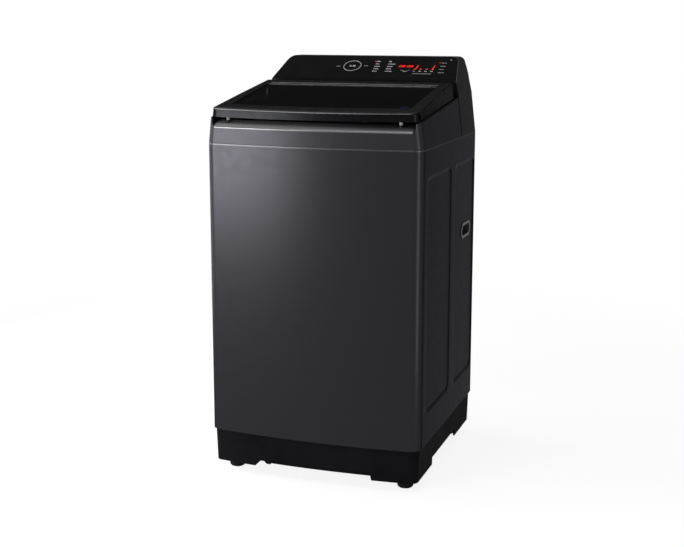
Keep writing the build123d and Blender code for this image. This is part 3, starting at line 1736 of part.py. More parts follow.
head_top = lever_low - plunger_gap
shoulder_low = lever_low + lever_thickness + plunger_gap
with BuildPart() as clutch_plunger:
    with BuildSketch(Plane.XY.offset(head_top)):
        with Locations((plunger_x, 0)):
            Circle(plunger_head_radius)
    extrude(amount=-plunger_head_height)
    with BuildSketch(Plane.XY.offset(head_top)):
        with Locations((plunger_x, 0)):
            Circle(plunger_neck)
    extrude(amount=shoulder_low - head_top)
    with BuildSketch(Plane.XY.offset(shoulder_low)):
        with Locations((plunger_x, 0)):
            Circle(plunger_radius)
    extrude(amount=plunger_length)
finish(clutch_plunger, "clutch_plunger")

with BuildPart() as clutch_actuator:
    with BuildSketch(Plane.XY.offset(actuator_bottom)):
        with Locations((actuator_x + actuator_length / 2, 0)):
            RectangleRounded(actuator_length, actuator_width, key_corner)
    extrude(amount=tub_floor - actuator_bottom)
    with BuildSketch(Plane.XY.offset(actuator_bottom)):
        with Locations((plunger_x, 0)):
            Circle(plunger_radius + plunger_clearance)
    extrude(amount=actuator_bore_length, mode=Mode.SUBTRACT)
finish(clutch_actuator, "clutch_actuator")

# Basket: steel wall on a moulded base, with a balance ring at its mouth and two lint filters
with BuildPart() as basket:
    add(tube(basket_radius, basket_radius - basket_wall, basket_bottom, basket_top))
finish(basket, "basket")

lip_outer = basket_radius - basket_wall - basket_lip_gap
with BuildPart() as basket_base:
    add(tube(basket_radius, basket_base_hole, hub_top, basket_bottom))
    add(tube(lip_outer, lip_outer - basket_lip_width, basket_bottom, basket_bottom + basket_lip_height))
finish(basket_base, "basket_base")

with BuildPart() as balance_ring:
    add(tube(basket_radius - basket_wall - balance_gap, balance_inner, balance_low, basket_top))
    add(tube(basket_radius + balance_overhang, balance_inner, basket_top, balance_top))
    fillet(balance_ring.faces().sort_by(Axis.Z)[-1].edges(), basket_lip_width)
finish(balance_ring, "balance_ring")

filter_outer = basket_radius - basket_wall - filter_gap
with BuildPart() as lint_filters:
    add(tube(filter_outer, filter_outer - filter_depth, basket_bottom, basket_top))
    with BuildSketch(Plane.YZ):
        with Locations((0, filter_level)):
            RectangleRounded(filter_width, filter_height, filter_corner)
    extrude(amount=width, both=True, mode=Mode.INTERSECT)
finish(lint_filters, "lint_filters")

# Pulsator: ribbed dish on the wash shaft with a screw cap in its middle
pulsator_deck = pulsator_low + pulsator_thickness
hub_crown = pulsator_low + pulsator_hub_height
with BuildPart() as pulsator:
    with BuildSketch(Plane.XY.offset(pulsator_low)):
        Circle(pulsator_radius)
    extrude(amount=pulsator_thickness)
    with BuildSketch(Plane.XY.offset(pulsator_low)):
        Circle(pulsator_hub_radius)
    extrude(amount=pulsator_hub_height)
    for vane in range(pulsator_vanes):
        angle = 2 * radians(180) * vane / pulsator_vanes
        across = (sin(angle), -cos(angle), 0)
        with BuildSketch(Plane(origin=(0, 0, 0), x_dir=(cos(angle), sin(angle), 0), z_dir=across)):
            with BuildLine():
                slope = Spline(
                    (vane_start, pulsator_deck + vane_height),
                    ((vane_start + vane_end) / 2, pulsator_deck + vane_height / 2),
                    (vane_end, pulsator_deck),
                )
                Polyline(slope @ 1, (vane_end, pulsator_low), (vane_start, pulsator_low), slope @ 0)
            make_face()
        extrude(amount=vane_width / 2, both=True)
    with BuildSketch(Plane.XY.offset(pulsator_low)):
        Circle(wash_shaft_radius + press_gap)
    extrude(amount=wash_shaft_top - pulsator_low, mode=Mode.SUBTRACT)
finish(pulsator, "pulsator")

with BuildPart() as pulsator_cap:
    with BuildSketch(Plane.XY.offset(hub_crown)):
        Circle(cap_radius)
    extrude(amount=cap_height)
    fillet(pulsator_cap.faces().sort_by(Axis.Z)[-1].edges(), cap_crown)
finish(pulsator_cap, "pulsator_cap")

# Drain pump on the base's shelf, with a bellows up to the tub's sump and a hose to the rear outlet
pump_top = pump_volute_low + pump_volute_height
chamber_low = pump_volute_low + pump_wall
chamber_high = pump_top - pump_wall
pump_neck_top = pump_top + pump_neck_length
pump_level = (chamber_low + chamber_high) / 2
pump_outlet_x = sump_x - pump_volute_radius - pump_outlet_length
with BuildPart() as drain_pump:
    with BuildSketch(Plane.XY.offset(shelf_top)):
        with Locations((sump_x, sump_y)):
            Circle(pump_radius)
    extrude(amount=pump_volute_low - shelf_top)
    with BuildSketch(Plane.XY.offset(pump_volute_low)):
        with Locations((sump_x, sump_y)):
            Circle(pump_volute_radius)
    extrude(amount=pump_volute_height)
    with BuildSketch(Plane.XY.offset(pump_top)):
        with Locations((sump_x, sump_y)):
            Circle(sump_radius)
    extrude(amount=pump_neck_length)
    with BuildSketch(Plane.YZ.offset(sump_x)):
        with Locations((sump_y, pump_level)):
            Circle(pump_outlet_radius - pump_wall / 2)
    extrude(amount=pump_outlet_x - sump_x)
    with BuildSketch(Plane.XY.offset(chamber_low)):
        with Locations((sump_x, sump_y)):
            Circle(pump_volute_radius - pump_wall)
    extrude(amount=chamber_high - chamber_low, mode=Mode.SUBTRACT)
    with BuildSketch(Plane.XY.offset(chamber_high)):
        with Locations((sump_x, sump_y)):
            Circle(sump_bore)
    extrude(amount=pump_neck_top - chamber_high, mode=Mode.SUBTRACT)
    with BuildSketch(Plane.YZ.offset(pump_outlet_x)):
        with Locations((sump_y, pump_level)):
            Circle(pump_outlet_bore - pump_wall)
    extrude(amount=pump_volute_radius, mode=Mode.SUBTRACT)
    with BuildSketch(Plane.XY.offset(chamber_low - impeller_shaft_length)):
        with Locations((sump_x, sump_y)):
            Circle(impeller_shaft_radius + running_gap)
    extrude(amount=impeller_shaft_length, mode=Mode.SUBTRACT)
finish(drain_pump, "drain_pump")

impeller_low = chamber_low + impeller_gap
with BuildPart() as drain_pump_impeller:
    with BuildSketch(Plane.XY.offset(impeller_low)):
        with Locations((sump_x, sump_y)):
            Circle(impeller_radius)
    extrude(amount=impeller_plate)
    with BuildSketch(Plane.XY.offset(impeller_low)):
        with Locations((sump_x, sump_y)):
            with PolarLocations(impeller_radius / 2, impeller_blades):
                Rectangle(impeller_radius, impeller_blade)
            Circle(impeller_radius, mode=Mode.INTERSECT)
    extrude(amount=impeller_blade_height)
    with BuildSketch(Plane.XY.offset(impeller_low)):
        with Locations((sump_x, sump_y)):
            Circle(impeller_shaft_radius)
    extrude(amount=-(impeller_shaft_length + impeller_gap - pump_wall / 2))
finish(drain_pump_impeller, "drain_pump_impeller")

with BuildPart() as drain_bellows:
    with BuildSketch(Plane.XY.offset(pump_neck_top + bellows_gap)):
        with Locations((sump_x, sump_y)):
            Circle(sump_radius + bellows_wall)
            Circle(sump_radius, mode=Mode.SUBTRACT)
    extrude(amount=tub_floor - sump_length - pump_neck_top - 2 * bellows_gap)
finish(drain_bellows, "drain_bellows")

with BuildPart() as drain_hose:
    with BuildLine() as drain_route:
        FilletPolyline(
            (pump_outlet_x, sump_y, pump_level),
            (drain_x, sump_y, pump_level),
            (drain_x, sump_y, drain_level),
            (drain_x, rear_y - drain_neck, drain_level),
            radius=drain_hose_bend,
        )
    with BuildSketch(Plane(origin=drain_route.line @ 0, z_dir=drain_route.line % 0)):
        Circle(pump_outlet_radius)
        Circle(pump_outlet_bore, mode=Mode.SUBTRACT)
    sweep()
finish(drain_hose, "drain_hose")
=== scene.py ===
from math import atan2, cos, radians, sin, sqrt

import bmesh
import bpy
import numpy as np
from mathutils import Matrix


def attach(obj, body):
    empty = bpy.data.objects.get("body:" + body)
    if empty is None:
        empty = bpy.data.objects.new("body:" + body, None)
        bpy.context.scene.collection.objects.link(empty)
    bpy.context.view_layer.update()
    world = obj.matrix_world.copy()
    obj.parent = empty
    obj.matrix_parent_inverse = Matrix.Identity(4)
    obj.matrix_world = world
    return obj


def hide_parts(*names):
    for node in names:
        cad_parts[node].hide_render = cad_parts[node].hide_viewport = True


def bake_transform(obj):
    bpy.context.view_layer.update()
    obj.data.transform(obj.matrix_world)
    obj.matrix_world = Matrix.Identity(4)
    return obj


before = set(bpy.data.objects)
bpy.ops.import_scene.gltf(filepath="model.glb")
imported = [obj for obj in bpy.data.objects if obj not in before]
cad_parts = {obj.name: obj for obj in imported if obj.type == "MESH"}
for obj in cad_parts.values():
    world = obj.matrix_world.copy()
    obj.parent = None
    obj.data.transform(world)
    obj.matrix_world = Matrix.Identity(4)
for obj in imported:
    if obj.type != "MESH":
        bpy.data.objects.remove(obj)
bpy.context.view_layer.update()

# The view. A camera with a portrait lens stands to the right of the machine, a little above its lid.
# It is moved down the film, so that the machine stands in the picture where the photograph has it.
view_place = (1.0069, -2.9046, 1.1228)
view_pitch, view_yaw = radians(10.379), radians(19.406)
sensor_width, focal_length, lens_shift = 36.0, 64.03, -0.05
lens = bpy.data.cameras.new("view")
lens.sensor_width = sensor_width
lens.lens = focal_length
lens.shift_y = lens_shift
view = bpy.data.objects.new("view", lens)
view.location = view_place
view.rotation_euler = (radians(90) - view_pitch, 0.0, view_yaw)
bpy.context.scene.collection.objects.link(view)
bpy.context.scene.camera = view
bpy.context.scene.view_settings.view_transform = "Standard"

# The studio. A white paper floor runs out of sight, the walls are white and the ceiling is dark,
# and soft boxes stand to the left, to the right and above. None of it belongs to the machine.
wall_lift, ceiling_lift, ceiling_glow, room_glow = 0.06, 0.34, 0.016, 0.42
pure_white = (1.0, 1.0, 1.0, 1)
floor_reach, floor_lines, floor_tone = 9.0, 13, (0.93, 0.93, 0.93, 1)
shade_near, shade_far, shade_kept = 0.6, 2.4, 0.14
aim_height = 0.55
joined_within, flat_within = 2e-6, 1e-7


def wire(tree, *links):
    """Join sockets: each link is an output followed by the input that it feeds."""
    for source, target in links:
        tree.links.new(source, target)


def sum_node(tree, how, first, second, clamp=False):
    """One arithmetic step on two values, each a socket or a number."""
    node = tree.nodes.new("ShaderNodeMath")
    node.operation = how
    node.use_clamp = clamp
    for socket, value in zip(node.inputs, (first, second)):
        if isinstance(value, (int, float)):
            socket.default_value = value
        else:
            tree.links.new(value, socket)
    return node.outputs[0]


def times(tree, *values):
    """Product of several values, taken from first to last."""
    product = values[0]
    for value in values[1:]:
        product = sum_node(tree, "MULTIPLY", product, value)
    return product


def ranged(tree, value, low, high, to_low, to_high, smooth=False):
    """A value between low and high brought to between to_low and to_high, held at both ends."""
    node = tree.nodes.new("ShaderNodeMapRange")
    node.interpolation_type = "SMOOTHSTEP" if smooth else "LINEAR"
    for name, number in zip(("From Min", "From Max", "To Min", "To Max"), (low, high, to_low, to_high)):
        node.inputs[name].default_value = number
    tree.links.new(value, node.inputs["Value"])
    return node.outputs["Result"]


def seen_rays(tree):
    """1 for what the camera sees directly, and 1 also for what it sees in a reflection or through glass.
    Both are 0 for light that falls on the machine."""
    path = tree.nodes.new("ShaderNodeLightPath")
    camera = path.outputs["Is Camera Ray"]
    seen = sum_node(tree, "ADD", camera, path.outputs["Is Glossy Ray"], clamp=True)
    return camera, sum_node(tree, "ADD", seen, path.outputs["Is Transmission Ray"], clamp=True)


def cells(rows, columns, wrap_rows, wrap_columns, first):
    """Corner numbers of a grid's faces: each joins a point, the next in its row and the two in the next row.
    A wrapped direction also joins its last line of points to its first."""
    number = np.arange(rows * columns).reshape(rows, columns) + first
    if wrap_rows:
        number = np.vstack([number, number[:1]])
    if wrap_columns:
        number = np.hstack([number, number[:, :1]])
    return np.stack([number[:-1, :-1], number[:-1, 1:], number[1:, 1:], number[1:, :-1]], -1).reshape(-1, 4)


def mesh_piece(name, grids, finish, smooth=True, closed=True):
    """Object from grids of points, each given as (points, wraps over its rows, wraps along its rows).
    Points that fall together are joined, which closes seams and poles, and faces are turned outwards."""
    corners, faces, count = [], [], 0
    for points, wrap_rows, wrap_columns in grids:
        rows, columns = points.shape[:2]
        corners.append(points.reshape(-1, 3))
        faces.append(cells(rows, columns, wrap_rows, wrap_columns, count))
        count += rows * columns
    mesh = bpy.data.meshes.new(name)
    mesh.from_pydata(np.concatenate(corners).tolist(), [], np.concatenate(faces).tolist())
    work = bmesh.new()
    work.from_mesh(mesh)
    if closed:
        bmesh.ops.remove_doubles(work, verts=work.verts, dist=joined_within)
        bmesh.ops.dissolve_degenerate(work, edges=work.edges, dist=flat_within)
        bmesh.ops.recalc_face_normals(work, faces=work.faces)
    work.to_mesh(mesh)
    work.free()
    mesh.polygons.foreach_set("use_smooth", np.full(len(mesh.polygons), smooth))
    mesh.materials.append(finish)
    piece = bpy.data.objects.new(name, mesh)
    bpy.context.scene.collection.objects.link(piece)
    return piece


room = bpy.data.worlds.new("studio_room")
room.use_nodes = True
tree = room.node_tree
tree.nodes.clear()
look = tree.nodes.new("ShaderNodeTexCoord")
height = tree.nodes.new("ShaderNodeSeparateXYZ")
walls = tree.nodes.new("ShaderNodeBackground")
fill = tree.nodes.new("ShaderNodeBackground")
fill.inputs["Strength"].default_value = room_glow
for lit in (walls, fill):
    lit.inputs["Color"].default_value = pure_white
both = tree.nodes.new("ShaderNodeMixShader")
out = tree.nodes.new("ShaderNodeOutputWorld")
camera_ray, seen = seen_rays(tree)
wire(tree, (look.outputs["Generated"], height.inputs[0]))
fade = ranged(tree, height.outputs["Z"], wall_lift, ceiling_lift, 1.0, ceiling_glow, smooth=True)
wire(tree, (sum_node(tree, "MAXIMUM", fade, camera_ray), walls.inputs["Strength"]))
wire(tree, (seen, both.inputs[0]), (fill.outputs[0], both.inputs[1]), (walls.outputs[0], both.inputs[2]))
wire(tree, (both.outputs[0], out.inputs["Surface"]))
bpy.context.scene.world = room

paper = bpy.data.materials.new("white_paper")
paper.use_nodes = True
tree = paper.node_tree
tree.nodes.clear()
sheet = tree.nodes.new("ShaderNodeBsdfDiffuse")
sheet.inputs["Color"].default_value = floor_tone
glow = tree.nodes.new("ShaderNodeEmission")
both = tree.nodes.new("ShaderNodeMixShader")
out = tree.nodes.new("ShaderNodeOutputMaterial")
where = tree.nodes.new("ShaderNodeTexCoord")
away = tree.nodes.new("ShaderNodeVectorMath")
away.operation = "LENGTH"
camera_ray, seen = seen_rays(tree)
wire(tree, (where.outputs["Object"], away.inputs[0]))
bright = ranged(tree, away.outputs["Value"], shade_near, shade_far, 1 - shade_kept, 1.0, smooth=True)
wire(tree, (times(tree, bright, seen), both.inputs[0]))
wire(tree, (sheet.outputs[0], both.inputs[1]), (glow.outputs[0], both.inputs[2]))
wire(tree, (both.outputs[0], out.inputs["Surface"]))
floor_line = np.linspace(-floor_reach, floor_reach, floor_lines)
floor_x, floor_y = np.meshgrid(floor_line, floor_line)
floor_points = np.stack([floor_x, floor_y, np.zeros_like(floor_x)], -1)
floor = mesh_piece("studio_floor", [(floor_points, False, False)], paper, closed=False)


def soft_box(name, azimuth, lift, distance, size, power):
    """Area lamp aimed at the machine's middle; azimuth runs from the front towards the machine's right."""
    lamp = bpy.data.lights.new(name, "AREA")
    lamp.shape = "RECTANGLE"
    lamp.size, lamp.size_y = size
    lamp.energy = power
    box = bpy.data.objects.new(name, lamp)
    turn, up = radians(azimuth), radians(lift)
    level = distance * cos(up)
    box.location = (level * sin(turn), -level * cos(turn), aim_height + distance * sin(up))
    box.rotation_euler = (radians(90) - up, 0.0, turn)
    box.visible_camera = False
    bpy.context.scene.collection.objects.link(box)


soft_box("left_soft_box", azimuth=-41, lift=1, distance=2.8, size=(1.7, 0.55), power=75)
soft_box("right_strip_light", azimuth=58, lift=0, distance=1.25, size=(0.3, 1.05), power=4.4)
soft_box("left_rim_light", azimuth=-97, lift=0, distance=1.7, size=(1.2, 1.05), power=90)
soft_box("top_soft_box", azimuth=-6, lift=58, distance=2.6, size=(1.8, 0.8), power=30)

# Cabinet: one sheet of steel bent round the front and both sides, with two fields pressed into each side.
# It is sprayed with a charcoal paint that has fine metal flake in it, and hooks under the plastic top.
# A rolled bead closes the seam between the steel and the top. The bead and the sheet's top edge are painted
# pale, a painted highlight along the seam.
paint_deep, paint_flake = (0.0146, 0.0145, 0.0163, 1), (0.0238, 0.0233, 0.0262, 1)
paint_tint, paint_metal, paint_rough = (0.380, 0.379, 0.384, 1), 0.72, (0.28, 0.32)
flake_size, cloud_size, peel_size, peel_depth = 2600.0, 40.0, 520.0, 0.00001
seam_highlight_level, seam_highlight_blend, seam_highlight_pale = 0.8212, 0.0006, (0.046, 0.046, 0.049, 1)
noise_low, noise_high = 0.3, 0.7
half_width, front_bow, front_y, rear_y = 0.270, 0.018, -0.2815, 0.2565
front_corner, rear_corner = 0.026, 0.008
front_points, corner_points, side_points, rear_points = 60, 14, 20, 8
bow_radius = (half_width**2 + front_bow**2) / (2 * front_bow)
bow_y = front_y + bow_radius
seam_level, bead_radius, bead_inset, bead_points = 0.8238, 0.0012, 0.0013, 8


def tree_of(name):
    """New material with its tree, its shader and the Object coordinates that every pattern here reads."""
    material = bpy.data.materials.new(name)
    material.use_nodes = True
    tree = material.node_tree
    where = tree.nodes.new("ShaderNodeTexCoord").outputs["Object"]
    return material, tree, tree.nodes["Principled BSDF"], where


def grain(tree, where, scale, detail=2.0, stretch=None):
    """Noise between 0 and 1 with about `scale` grains to the metre, drawn out along the axes by stretch."""
    noise = tree.nodes.new("ShaderNodeTexNoise")
    noise.inputs["Scale"].default_value = scale
    noise.inputs["Detail"].default_value = detail
    if stretch:
        turn = tree.nodes.new("ShaderNodeMapping")
        turn.inputs["Scale"].default_value = stretch
        wire(tree, (where, turn.inputs["Vector"]))
        where = turn.outputs["Vector"]
    wire(tree, (where, noise.inputs["Vector"]))
    return noise.outputs["Fac"]


def spread(tree, noise, low, high):
    """A noise, which keeps mostly to the middle of its range, brought to between low and high."""
    return ranged(tree, noise, noise_low, noise_high, low, high)


def sheen(tree, noise, rough, shader):
    """Roughness that goes with a noise from the first to the second number of rough."""
    wire(tree, (spread(tree, noise, *rough), shader.inputs["Roughness"]))


def tones(tree, value, dark, light, shader):
    """Colour that goes from dark to light with a value, as the shader's own colour."""
    mix = tree.nodes.new("ShaderNodeMix")
    mix.data_type = "RGBA"
    mix.inputs["A"].default_value = dark
    mix.inputs["B"].default_value = light
    wire(tree, (value, mix.inputs["Factor"]), (mix.outputs["Result"], shader.inputs["Base Color"]))
    return mix


def laid_over(tree, mix, share, colour, shader):
    """Lay a colour over a mix of tones, by a share between 0 and 1."""
    over = tree.nodes.new("ShaderNodeMix")
    over.data_type = "RGBA"
    over.inputs["B"].default_value = colour
    wire(tree, (mix.outputs["Result"], over.inputs["A"]), (share, over.inputs["Factor"]))
    wire(tree, (over.outputs["Result"], shader.inputs["Base Color"]))
    return over


def relief(tree, value, shader, depth):
    """Bump of a given depth, in metres, where a value goes from 0 to 1."""
    bump = tree.nodes.new("ShaderNodeBump")
    bump.inputs["Distance"].default_value = depth
    bump.inputs["Strength"].default_value = 1.0
    wire(tree, (value, bump.inputs["Height"]), (bump.outputs["Normal"], shader.inputs["Normal"]))


def dull_lacquer(shader, tint):
    """Lacquer over flake: no clear gloss of its own, and a grey tint where it is seen at a low angle."""
    shader.inputs["Specular Tint"].default_value = tint
    shader.inputs["Specular IOR Level"].default_value = 0.0


def axis_values(tree, where):
    """Left-right, front-back and height of a point, as three values."""
    split = tree.nodes.new("ShaderNodeSeparateXYZ")
    wire(tree, (where, split.inputs[0]))
    return split.outputs["X"], split.outputs["Y"], split.outputs["Z"]


def dress(finish, *names):
    """Put a finish on CAD nodes, by the slots of their objects."""
    for name in names:
        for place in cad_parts[name].material_slots:
            place.material = finish


def arc(centre, radius, start, end, count):
    """Points of a round arc: centre plus the radius at angles from start to end."""
    angle = np.linspace(start, end, count)
    return np.stack([centre[0] + radius * np.cos(angle), centre[1] + radius * np.sin(angle)], -1)


def cabinet_outline(inset):
    """Closed outline seen from above, drawn in by inset: a wide arc bows the front, smaller arcs round the
    corners where they touch the wide arc and the sides, and the sides and the back are straight."""
    half, front, rear = half_width - inset, front_corner - inset, rear_corner - inset
    corner_x = half - front
    corner_y = bow_y - sqrt((bow_radius - inset - front) ** 2 - corner_x**2)
    lean = atan2(corner_x, bow_y - corner_y)
    down, right, up = radians(-90), 0.0, radians(90)
    front_arc = arc((0, bow_y), bow_radius - inset, down - lean, down + lean, front_points)[1:-1]
    right_arc = arc((corner_x, corner_y), front, down + lean, right, corner_points)
    back_arc = arc((half - rear, rear_y - inset - rear), rear, right, up, rear_points)
    side = np.linspace(right_arc[-1], back_arc[0], side_points)[1:-1]
    half_line = np.concatenate([right_arc, side, back_arc])
    mirrored = half_line[::-1] * (-1, 1)
    return np.concatenate([front_arc, half_line, mirrored])


def along(path, profile):
    """Closed path with a closed profile carried round it: each point of the profile lies out along the path's
    level normal by its first number and up by its second."""
    step = np.roll(path, -1, 0) - np.roll(path, 1, 0)
    step /= np.linalg.norm(step, axis=1, keepdims=True)
    out = np.stack([step[:, 1], -step[:, 0]], -1)
    level = path[:, None, :] + out[:, None, :] * profile[None, :, :1]
    rise = np.broadcast_to(profile[None, :, 1:], (len(path), len(profile), 1))
    return np.concatenate([level, rise], -1)


charcoal_paint, tree, shader, where = tree_of("charcoal_paint")
mix = tones(tree, grain(tree, where, flake_size, detail=1.0), paint_deep, paint_flake, shader)
level = axis_values(tree, where)[2]
# Painted highlight: above this level the paint turns pale, standing in for light caught along the seam.
on_highlight = ranged(tree, level, seam_highlight_level - seam_highlight_blend, seam_highlight_level, 0, 1)
laid_over(tree, mix, on_highlight, seam_highlight_pale, shader)
sheen(tree, grain(tree, where, cloud_size), paint_rough, shader)
relief(tree, grain(tree, where, peel_size, detail=1.0), shader, peel_depth)
shader.inputs["Metallic"].default_value = paint_metal
dull_lacquer(shader, paint_tint)
dress(charcoal_paint, "cabinet_shell")

bead_profile = arc((0, seam_level), bead_radius, 0, 2 * np.pi * (1 - 1 / bead_points), bead_points)
bead_rings = along(cabinet_outline(bead_inset), bead_profile)
seam_bead = mesh_piece("seam_bead", [(bead_rings, True, True)], charcoal_paint)
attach(seam_bead, "cabinet")

# Back panel: a thinner sheet with a raised field, held to the cabinet's rear flanges by ten screws.
# The sheet, the screws, the brackets and the rods are zinc plated, with the spangle of the bath.
crystal_low, crystal_high = 0.35, 0.65


def bare_metal(name, dark, light, spangle, rough, stretch=None, depth=0.00001):
    """Bare metal: crystals of slightly different brightness, or lines where stretch draws them out."""
    finish, tree, shader, where = tree_of(name)
    marks = grain(tree, where, spangle, detail=3.0, stretch=stretch)
    tones(tree, ranged(tree, marks, crystal_low, crystal_high, 0, 1), dark, light, shader)
    sheen(tree, marks, rough, shader)
    relief(tree, marks, shader, depth)
    shader.inputs["Metallic"].default_value = 1.0
    return finish


zinc_plate = bare_metal(
    "zinc_plate", dark=(0.30, 0.305, 0.31, 1), light=(0.36, 0.365, 0.37, 1), spangle=210.0, rough=(0.36, 0.46)
)
dress(zinc_plate, "back_panel", "back_panel_screws", "corner_brackets", "suspension_rods", "foot_lock_nuts")

# Base: a skirt moulded in black plastic that the steel stands on, spark-eroded to a fine matt grain.
# The feet are rubber pads moulded round their stems, and the front two screw in and out.
drift_size = 14.0


def moulded(name, dark, light, rough, fine, depth, gloss=0.5):
    """Moulded plastic: a fine eroded grain in its relief and slow drifts in its shade and its gloss."""
    finish, tree, shader, where = tree_of(name)
    drift = grain(tree, where, drift_size, detail=3.0)
    tones(tree, spread(tree, drift, 0, 1), dark, light, shader)
    sheen(tree, drift, rough, shader)
    relief(tree, grain(tree, where, fine), shader, depth)
    shader.inputs["Specular IOR Level"].default_value = gloss
    return finish


base_plastic = moulded(
    "base_plastic", dark=(0.0036, 0.0036, 0.0042, 1), light=(0.0052, 0.0052, 0.0058, 1),
    rough=(0.5, 0.6), fine=1400.0, depth=0.00006, gloss=0.003,
)
foot_rubber = moulded(
    "foot_rubber", dark=(0.005, 0.005, 0.005, 1), light=(0.009, 0.009, 0.009, 1),
    rough=(0.7, 0.85), fine=900.0, depth=0.00008, gloss=0.03,
)
dress(base_plastic, "base", "drain_pump", "clutch_actuator", "power_cord_gland", "lid_dampers")
dress(foot_rubber, "rear_feet", "front_left_foot", "front_right_foot", "drain_hose", "inlet_hose")

# Carry handles: plastic cups pushed into the side panels, moulded in the colour of the paint.
# Their rims stand proud of the pressed field.
handle_plastic = moulded(
    "handle_plastic", dark=(0.022, 0.022, 0.024, 1), light=(0.030, 0.030, 0.032, 1),
    rough=(0.36, 0.44), fine=1100.0, depth=0.00004, gloss=0.12,
)
dress(handle_plastic, "carry_handle_left", "carry_handle_right")

# Suspension: four steel springs stand on the pistons of the rods and carry the lugs of the tub.
# Each is wound from round wire, with its end turns closed up.
rod_x, rod_front_y, rod_rear_y = 0.208, -0.2035, 0.2045
spring_low, spring_high, coil_radius, wire_radius = 0.2703, 0.3297, 0.016, 0.0019
coil_turns, closed_turns, coil_points, wire_points = 7.5, 0.7, 211, 8
spring_steel = bare_metal(
    "spring_steel", dark=(0.16, 0.16, 0.17, 1), light=(0.24, 0.24, 0.25, 1), spangle=300.0, rough=(0.3, 0.45)
)


def round_turn(count):
    """Angles of evenly spaced points once round, the first not repeated."""
    return np.linspace(0, 2 * np.pi, count + 1)[:-1]


def coil(x, y):
    """Round wire on a helix: the angle grows evenly, and the height grows evenly between the end turns, which
    stay level and so close up. Each row of points is one ring of the wire; the ends close in a point."""
    share = np.linspace(0, 1, coil_points)
    ease = np.clip((share * coil_turns - closed_turns) / (coil_turns - 2 * closed_turns), 0, 1)
    level = spring_low + wire_radius + (spring_high - spring_low - 2 * wire_radius) * ease
    turn = 2 * np.pi * coil_turns * share
    round_wire = round_turn(wire_points)
    thick = np.where((share == 0) | (share == 1), 0.0, wire_radius)[:, None]
    reach = coil_radius + thick * np.cos(round_wire)
    across, back = x + reach * np.cos(turn)[:, None], y + reach * np.sin(turn)[:, None]
    return np.stack([across, back, level[:, None] + thick * np.sin(round_wire)], -1), False, True


coils = [coil(x, y) for x in (-rod_x, rod_x) for y in (rod_front_y, rod_rear_y)]
springs = mesh_piece("coil_springs", coils, spring_steel)
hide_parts("suspension_springs")
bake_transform(springs)

# Tub and its cover: moulded in a pale filled plastic, with lugs, a sump spigot and the cups of the dampers.
# It hangs in the cabinet and never shows, apart from the cover's rim inside the mouth.
tub_plastic = moulded(
    "tub_plastic", dark=(0.52, 0.53, 0.54, 1), light=(0.60, 0.61, 0.62, 1),
    rough=(0.42, 0.55), fine=700.0, depth=0.00006,
)
dress(tub_plastic, "tub", "tub_cover", "damper_cups", "clutch_coupler", "drain_pump_impeller")

# Drive: a cast housing with two bearings, shafts in one another, and a flat motor under the tub.
# The stator's teeth are wound with copper wire between the plates of lacquered iron.
copper_dark, copper_light = (0.26, 0.09, 0.03, 1), (0.50, 0.20, 0.08, 1)
copper_metal, copper_rough = 0.8, (0.28, 0.42)
lay_size, lay_stretch, lay_depth = 900.0, (0.3, 0.3, 2.0), 0.0002
cast_alloy = bare_metal(
    "cast_alloy", dark=(0.36, 0.36, 0.37, 1), light=(0.46, 0.46, 0.47, 1),
    spangle=420.0, rough=(0.48, 0.62), depth=0.00008,
)
turned_steel = bare_metal(
    "turned_steel", dark=(0.42, 0.42, 0.43, 1), light=(0.55, 0.55, 0.56, 1),
    spangle=900.0, rough=(0.22, 0.32), stretch=(0.05, 0.05, 1.0),
)
rotor_lacquer = moulded(
    "rotor_lacquer", dark=(0.03, 0.03, 0.032, 1), light=(0.045, 0.045, 0.048, 1),
    rough=(0.4, 0.55), fine=600.0, depth=0.00006,
)
wound_copper, tree, shader, where = tree_of("wound_copper")
lay = grain(tree, where, lay_size, detail=1.0, stretch=lay_stretch)
tones(tree, lay, copper_dark, copper_light, shader)
sheen(tree, lay, copper_rough, shader)
relief(tree, lay, shader, lay_depth)
shader.inputs["Metallic"].default_value = copper_metal
dress(cast_alloy, "bearing_housing")
dress(turned_steel, "shaft_bearings", "spin_shaft", "wash_shaft", "rotor_nut")
dress(turned_steel, "clutch_lever", "clutch_plunger", "lid_hinge_pins")
dress(rotor_lacquer, "rotor", "rotor_magnets")
dress(wound_copper, "stator")

# Basket: a stainless sheet rolled into a drum, pierced all over and pressed outwards round each hole.
# It stands on a moulded base, and a hollow ring of salt water at its mouth keeps it in balance.
basket_radius, basket_low, basket_high, sheet_thickness = 0.2130, 0.3220, 0.7600, 0.0009
pierced_low, pierced_high, pierced_rows, pierced_columns = 0.3450, 0.7370, 25, 72
hole_radius, press_radius, press_depth, press_start = 0.0021, 0.0055, 0.0011, 0.15
drum_steel = bare_metal(
    "drum_steel", dark=(0.50, 0.51, 0.52, 1), light=(0.64, 0.65, 0.66, 1),
    spangle=700.0, rough=(0.22, 0.34), stretch=(0.02, 0.02, 1.0),
)
wash_plastic = moulded(
    "wash_plastic", dark=(0.42, 0.43, 0.45, 1), light=(0.48, 0.49, 0.51, 1),
    rough=(0.28, 0.38), fine=900.0, depth=0.00003,
)


def round_drum(angle, height, radius):
    """Point of the drum's sheet at an angle, a height and a radius."""
    level = np.broadcast_to(height, angle.shape)
    return np.stack([radius * np.cos(angle), radius * np.sin(angle), level], -1)


